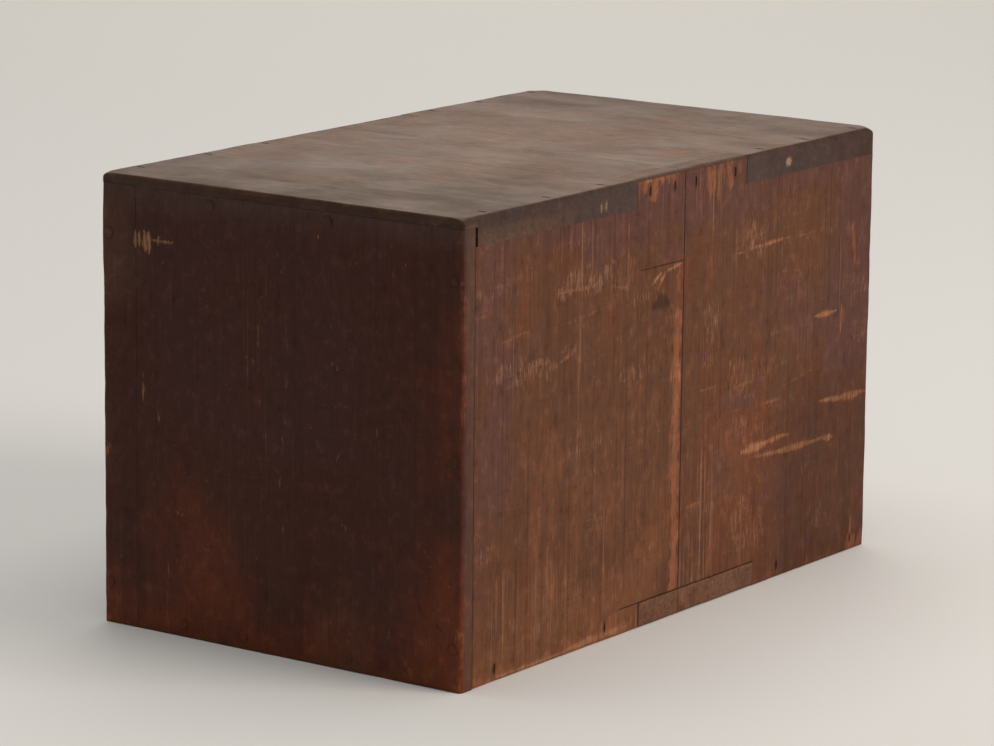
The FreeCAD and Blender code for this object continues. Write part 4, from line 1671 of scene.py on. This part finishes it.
# %% Drawer fronts
FRONT_RIM = 1.3
FRONT_LAP = 7.0
DRAWER_SIDE_T = 8.0
DRAWER_BOTTOM_T = 6.0
HALO_MM = 13.0
HAND_DROP = 22
HAND_MM = (40, 16)
BEHIND = 0.9  # points past this share of the thickness are on the inner face
FRONT_PLANING = {"swells": (0.3, 110, 40), "dents": (0.3, 25, 18, 0.65)}


def drawer_front(drawer, pitch, seed):
    """One drawer front: worn edges, laps behind for sides and bottom, handling round the pull."""
    body, node = "drawer_" + drawer, "drawer_" + drawer + "_front"
    u0, u1 = np.subtract(limits(node, X), LEFT_X)
    v0, v1 = limits(node, Z)
    face_y, inside_y = limits(node, Y)
    edges = rim_of(u0, u1, v0, v1, FRONT_RIM)
    laps = (u0 + DRAWER_SIDE_T, u1 - DRAWER_SIDE_T)
    lap_v = v0 + DRAWER_BOTTOM_T
    u = grid_lines(u0, u1, pitch, sharp=laps)
    v = grid_lines(v0, v1, pitch, sharp=(lap_v,))
    middle, pull = WIDTH / 2, pull_height(drawer)
    posts = [(middle + side * PULL_SPAN / 2, pull) for side in (-1, 1)]

    def outer(uu, vv):
        return edge_drop(uu, vv, edges, seed) + planed(uu, vv, **FRONT_PLANING, seed=seed)

    def inner(uu, vv):
        lapped = (uu < laps[0]) | (uu > laps[1]) | (vv < lap_v)
        return np.where(lapped, FRONT_LAP, inside_y - face_y)

    def marks(uu, vv, share):
        hand = stains(uu, vv, [(middle, pull - HAND_DROP)], *HAND_MM)
        halo = stains(uu, vv, posts, HALO_MM, HALO_MM)
        knocks = blotches(uu, vv, 12, 5, seed + 6, 0.66, 0.8)
        bare = 0.7 * edge_rub(uu, vv, edges, 1.6, seed + 3) + 0.35 * knocks
        return {
            "bare": np.where(share > BEHIND, 0.0, bare),
            "pale": 0.3 * knocks,
            "lined": 0.6 * cloud(uu, vv, 80, 20, seed + 4),
            "warm": blotches(uu, vv, 80, 40, seed + 5, 0.45, 0.8) + 0.4 * hand,
            "cool": blotches(uu, vv, 70, 30, seed + 7, 0.5, 0.8),
            "grime": np.where(share > BEHIND, 0.0, 0.45 * halo + 0.25 * hand),
            "end": np.where((uu < u0 + ON_EDGE) | (uu > u1 - ON_EDGE), 1.0, 0.0),
        }

    face = (Y, face_y, 1)
    add_board(node, face, body, front_cedar, u, v, everywhere, outer, inner, marks)


for i, drawer in enumerate(DRAWERS):
    drawer_front(drawer, pitch=1.6, seed=400 + 20 * i)

# %% [markdown]
# The iron is hand forged and was blackened hot, in oil. A plain metal would look like new steel. Such
# iron is nearly black with a dull shine on its high places, and brown rust, which is no metal, sits in
# its pits. So the rust takes the metal away where it covers the black. The nails keep their CAD shape and
# have rusted more than the pulls.

# %% Blackened iron
HAMMER_MM = 5.0
RUST_MM = 2.2
IRON_BLACK, IRON_GREY, IRON_RUST = linear("#1d1b1a"), linear("#3a3633"), linear("#4a2a1a")
RUST_LEVELS = (0.62, 0.8)
RUST_GAIN = 0.3
CLEAN_METAL = 0.85
IRON_ROUGH, RUST_ROUGH = 0.48, 0.3
HAMMER_WEIGHT = 2.0
IRON_RELIEF = {"Strength": 0.5, "Distance": 0.3 * MM}


def forged_iron(name, rust):
    """Blackened iron: hammer marks and rust are two noises, and rust takes the place of the metal."""
    finish, tree = new_finish(name)
    place = add_node(tree, "TexCoord", output="Object")
    beaten = {"Vector": place, "Scale": 1 / (HAMMER_MM * MM), "Detail": 2.0}
    pitted = {"Vector": place, "Scale": 1 / (RUST_MM * MM), "Detail": 6.0, "Roughness": 0.7}
    hammered = add_node(tree, "TexNoise", beaten)
    grit = add_node(tree, "TexNoise", pitted)
    start, full = (limit - RUST_GAIN * rust for limit in RUST_LEVELS)
    span = {"Value": grit, "From Min": start, "From Max": full}
    rusty = add_node(tree, "MapRange", span, interpolation_type="SMOOTHSTEP")
    black = add_node(tree, "Mix", {"Factor": grit, "A": IRON_BLACK, "B": IRON_GREY}, data_type="RGBA")
    colour = add_node(tree, "Mix", {"Factor": rusty, "A": black, "B": IRON_RUST}, data_type="RGBA")
    metal = add_node(tree, "Math", {0: CLEAN_METAL, 1: rusty}, operation="SUBTRACT", use_clamp=True)
    rough = add_node(tree, "Math", {0: rusty, 1: RUST_ROUGH, 2: IRON_ROUGH}, operation="MULTIPLY_ADD")
    height = add_node(tree, "Math", {0: hammered, 1: HAMMER_WEIGHT, 2: grit}, operation="MULTIPLY_ADD")
    bump = add_node(tree, "Bump", {"Height": height} | IRON_RELIEF)
    surface = {"Base Color": colour, "Metallic": metal, "Roughness": rough, "Normal": bump}
    add_node(tree, "OutputMaterial", {"Surface": add_node(tree, "BsdfPrincipled", surface)})
    print("finish", name)
    return finish


pull_iron = forged_iron("blackened_forged_iron", 0.35)
refinish("joint_nails", forged_iron("rusted_cut_nail_iron", 0.7))

# %% [markdown]
# A pull is a bail that swings in two eyes. The smith drew the bar thinner towards its bends and left it
# full in the middle, where the hand holds it, then worked a small bud on each end to keep it in its eyes.
# The path is straight runs and arcs in one plane.

# %% Path of a bail
BAIL_DROP = 27.0
BAIL_BEND_R = 4.5
BAIL_CORNER_R = 11.0
BAIL_BEND_X = 26.4
BAIL_END = 38.5
KNOB_R = 3.5
KNOB_TURN = (4, 145, 10)
PIN_RUN = (34, 28, 4)
ARM_STEPS = 7
ARC_STEPS = 9


def arc(cx, cz, radius, start, end):
    """Points on an arc about (cx, cz) between two angles in degrees, as x and z."""
    t = np.radians(np.linspace(start, end, ARC_STEPS))
    return np.stack([cx + radius * np.cos(t), cz + radius * np.sin(t)], 1)


def bail_path():
    """Half of the bail, from the end of its pin to the middle of its bow, then mirrored: x and z."""
    arm = BAIL_BEND_X - BAIL_BEND_R
    bow = arm - BAIL_CORNER_R
    turn_z = BAIL_CORNER_R - BAIL_DROP
    knob = BAIL_END + KNOB_R * np.cos(np.radians(np.linspace(*KNOB_TURN)))
    pin = np.append(knob, np.linspace(*PIN_RUN))
    down = np.linspace(-BAIL_BEND_R, turn_z, ARM_STEPS)[1:-1]
    half = [
        np.stack([pin, 0 * pin], 1),
        arc(BAIL_BEND_X, -BAIL_BEND_R, BAIL_BEND_R, 90, 180),
        np.stack([0 * down + arm, down], 1),
        arc(bow, turn_z, BAIL_CORNER_R, 0, -90),
        [[bow / 2, -BAIL_DROP], [0, -BAIL_DROP]],
    ]
    half = np.concatenate(half)
    return np.concatenate([half, half[-2::-1] * (-1, 1)])


print("the path of a bail has", len(bail_path()), "points")

# %% [markdown]
# The radius along the path makes the taper and the buds: a ball at each end, then a bar that is slim at
# its bends and full along its bow.

# %% Bails
BAIL_R = 2.4
SLIM = 0.86
FULL_FROM = -12  # below the axis, where the bar starts to thicken
BUD_TIP_R = 0.1
ON_AXIS = 0.01  # a point this near the axis is on the pin


def bail(drawer):
    """One bail: circles across the path, with a full middle, slim bends and a bud at each end."""
    flat = bail_path()
    run = np.gradient(flat, axis=0)
    run /= np.linalg.norm(run, axis=1)[:, None]
    outward = np.stack([-run[:, 1], np.zeros(len(run)), run[:, 0]], 1)
    from_end = BAIL_END + KNOB_R - np.abs(flat[:, 0])
    ball = np.maximum(np.sqrt(np.maximum(KNOB_R**2 - (from_end - KNOB_R) ** 2, 0)), BUD_TIP_R)
    bar = BAIL_R * (SLIM + (1 - SLIM) * rise(FULL_FROM, -BAIL_DROP, flat[:, 1]))
    on_bud = (flat[:, 1] > -ON_AXIS) & (from_end < 2 * KNOB_R)
    radius = np.where(on_bud, np.maximum(ball, bar * (from_end > KNOB_R)), bar)
    node = "drawer_" + drawer + "_bail"
    axis_y = np.mean(limits(node, Y))
    path = np.stack([flat[:, 0], np.full(len(flat), axis_y), pull_height(drawer) + flat[:, 1]], 1)
    points, faces = joined([carried_section(path, outward, ALONG_Y, radius, radius)])
    add_piece(node + "_forged", points, faces, "bail_" + drawer, pull_iron, node, sharp_deg=60)


for drawer in DRAWERS:
    bail(drawer)

# %% [markdown]
# Each eye post is a strip of iron bent round into a ring, its two ends driven through the drawer front
# and clinched flat inside.

# %% An eye post
EYE_R = 5.4
EYE_HOLE_R = 2.7
EYE_W = 3.2
EYE_POWER = 3.2
EYE_STEPS = 40
STRIP_SIDES = 16
STRIP_POWER = 4.0
SHANK_H = 3.4
SHANK_FROM = 3.4
SHANK_W = 0.98  # of the ring's width, a hair less
SHANK_IN = 0.9  # how far the shank goes into the legs, as a share of their thickness
SHANK_STEPS = 8
LEG_L = 9.0
LEG_T = 1.6
LEG_STEPS = 13
LEG_POWER = 5
LEG_TIP = 0.05


def eye_post(x, axis_y, z, inside_y):
    """Ring, shank and two clinched legs of one post."""
    turn = np.linspace(0, 2 * np.pi, EYE_STEPS, endpoint=False)
    spoke = np.stack([0 * turn, np.cos(turn), np.sin(turn)], 1)
    middle = np.array([x, axis_y, z]) + (EYE_R + EYE_HOLE_R) / 2 * spoke
    thick = (EYE_R - EYE_HOLE_R) / 2
    ring = carried_section(middle, spoke, ALONG_X, thick, EYE_W / 2, EYE_POWER, STRIP_SIDES, loop=True)
    depth = np.linspace(axis_y + SHANK_FROM, inside_y + LEG_T * SHANK_IN, SHANK_STEPS)
    reach = np.array([x, 0, z]) + depth[:, None] * ALONG_Y
    strip = (STRIP_POWER, STRIP_SIDES)
    shank = carried_section(reach, ALONG_X, ALONG_Z, EYE_W / 2 * SHANK_W, SHANK_H / 2, *strip)
    share = np.linspace(-1, 1, LEG_STEPS)
    clinch = np.array([x, inside_y + LEG_T / 2, z]) + share[:, None] * LEG_L * ALONG_Z
    point = np.sqrt(np.clip(1 - np.abs(share) ** LEG_POWER, LEG_TIP, 1))
    legs = carried_section(clinch, ALONG_X, ALONG_Y, EYE_W / 2 * point, LEG_T / 2 * point, *strip)
    return [ring, shank, legs]


print("an eye post has", len(joined(eye_post(0.0, 0.0, 0.0, 20.0))[0]), "points")

# %% [markdown]
# A round plate between ring and wood keeps the pull from marking the front. Its rim is raised a little
# and its middle is domed. A screw modifier could turn it, but rings carried along its axis do the same
# with the function that is already here.

# %% Plates, and the pulls in place
PLATE_R = 11.0
PLATE_T = 2.0
PLATE_SIDES = 40
PLATE_PROFILE = [
    # share of the radius, share of the height
    (0.9, 0.0),
    (0.975, 0.0),
    (1.0, 0.25),
    (0.985, 0.5),
    (0.95, 0.62),
    (0.9, 0.58),
    (0.82, 0.42),
    (0.7, 0.42),
    (0.58, 0.6),
    (0.48, 0.85),
    (0.4, 0.96),
    (0.3, 1.0),
    (0.15, 1.0),
    (0.02, 1.0),
]


def plate(x, face_y, z):
    """A round plate: rings whose radius and height draw a rolled rim, a dish and a domed middle."""
    radius, height = np.transpose(PLATE_PROFILE) * [[PLATE_R], [PLATE_T]]
    path = np.array([x, face_y, z]) - height[:, None] * ALONG_Y
    return carried_section(path, ALONG_X, ALONG_Z, radius, radius, sides=PLATE_SIDES)


for drawer in DRAWERS:
    body, stem = "drawer_" + drawer, "drawer_" + drawer + "_"
    axis_y = np.mean(limits(stem + "bail", Y))
    face_y, inside_y = limits(stem + "front", Y)
    z = pull_height(drawer)
    spots = [side * PULL_SPAN / 2 for side in (-1, 1)]
    points, faces = joined([form for x in spots for form in eye_post(x, axis_y, z, inside_y)])
    add_piece(stem + "pull_posts_forged", points, faces, body, pull_iron, stem + "pull_posts")
    points, faces = joined([plate(x, face_y, z) for x in spots])
    add_piece(stem + "pull_plates_forged", points, faces, body, pull_iron, stem + "pull_plates")

# %% [markdown]
# The floor is plain and pale. A disc has no corners to come into view, and this one is wide enough that
# its rim stays out of sight.

# %% Floor
FLOOR_R = 30.0
FLOOR_RINGS = 12
FLOOR_SPOKES = 48
FLOOR_CAP = 0.02  # its square is the share of the radius where the rings start
FLOOR_LOOK = {"Base Color": linear("#e3e0db"), "Roughness": 0.9, "Specular IOR Level": 0.2}


def round_floor():
    """A round floor in metres: rings of points whose radius grows as a square, joined into quads, with a
    cap in the middle."""
    turn = np.arange(FLOOR_SPOKES) * 2 * np.pi / FLOOR_SPOKES
    reach, turn = np.meshgrid(np.linspace(FLOOR_CAP, 1, FLOOR_RINGS) ** 2 * FLOOR_R, turn, indexing="ij")
    points = np.stack([reach * np.cos(turn), reach * np.sin(turn), 0 * turn], -1).reshape(-1, 3)
    index = np.arange(FLOOR_RINGS * FLOOR_SPOKES).reshape(FLOOR_RINGS, FLOOR_SPOKES)
    ahead = np.roll(index, -1, 1)
    quads = np.stack([index[:-1], index[1:], ahead[1:], ahead[:-1]], -1).reshape(-1, 4)
    return points, quads.tolist() + [index[0].tolist()]


finish, tree = new_finish("pale_matt_floor")
add_node(tree, "OutputMaterial", {"Surface": add_node(tree, "BsdfPrincipled", FLOOR_LOOK)})
points, faces = round_floor()
mesh = bpy.data.meshes.new("floor")
mesh.from_pydata(points, [], faces)
mesh.materials.append(finish)
floor = bpy.data.objects.new("floor", mesh)
bpy.context.scene.collection.objects.link(floor)
print("floor", 2 * FLOOR_R, "m across")

# %% [markdown]
# A large soft light hangs overhead, a second one stands on the right of the picture and lights the side,
# and a third stands beyond the chest, where the flat top mirrors it at a low angle: that is the sheen on
# the top. The room itself is dim, so the back stays in shade.

# %% Light
LIGHTS = {
    # name: place, target, size in metres, watts, colour
    "overhead": ((0.3, -0.4, 4.0), (0.3, -0.4, 0.0), 5.0, 118.0, "#ffffff"),
    "side_light": ((-3.3, -0.9, 1.7), (0.0, 0.0, 0.2), 2.0, 84.0, "#fff6ec"),
    "far_light": ((2.2, -3.2, 1.6), (0.0, 0.0, 0.3), 2.6, 21.0, "#fff6ea"),
}
ROOM = {"Color": linear("#f0f0ee"), "Strength": 0.19}
for name, (place, target, size, watts, colour) in LIGHTS.items():
    lamp = bpy.data.lights.new(name, "AREA")
    lamp.size = size
    lamp.energy = watts
    lamp.color = linear(colour)[:3]
    holder = bpy.data.objects.new(name, lamp)
    holder.location = place
    holder.rotation_euler = (Vector(target) - Vector(place)).to_track_quat("-Z", "Y").to_euler()
    bpy.context.scene.collection.objects.link(holder)
world = bpy.data.worlds.new("soft_room")
world.use_nodes = True
for key, value in ROOM.items():
    world.node_tree.nodes["Background"].inputs[key].default_value = value
bpy.context.scene.world = world
bpy.context.scene.view_settings.view_transform = "Standard"
print("lights", list(LIGHTS))

# %% [markdown]
# The camera looks at the back and the left side from a little above. A constraint could aim it, but then
# its angles could not be read. Here its three axes are written out from yaw, tilt and roll, and become
# the columns of its matrix.

# %% Camera
CAMERA_MM = (-1584.1, 2231.1, 708.4)
YAW, TILT, ROLL = np.radians((144.585, -11.818, 0.584))
LENS_MM = 160.04
SENSOR_MM = 36.0
ahead = Vector((np.cos(TILT) * np.sin(YAW), np.cos(TILT) * np.cos(YAW), np.sin(TILT)))
right = ahead.cross(Vector((0, 0, 1))).normalized()
up = right.cross(ahead)
right, up = right * np.cos(ROLL) + up * np.sin(ROLL), up * np.cos(ROLL) - right * np.sin(ROLL)
lens = bpy.data.cameras.new("camera")
lens.lens = LENS_MM
lens.sensor_width = SENSOR_MM
camera = bpy.data.objects.new("camera", lens)
turned = Matrix((right, up, -ahead)).transposed().to_4x4()
camera.matrix_world = Matrix.Translation(Vector(CAMERA_MM) * MM) @ turned
bpy.context.scene.collection.objects.link(camera)
bpy.context.scene.camera = camera
print("camera", LENS_MM, "mm lens at", CAMERA_MM)
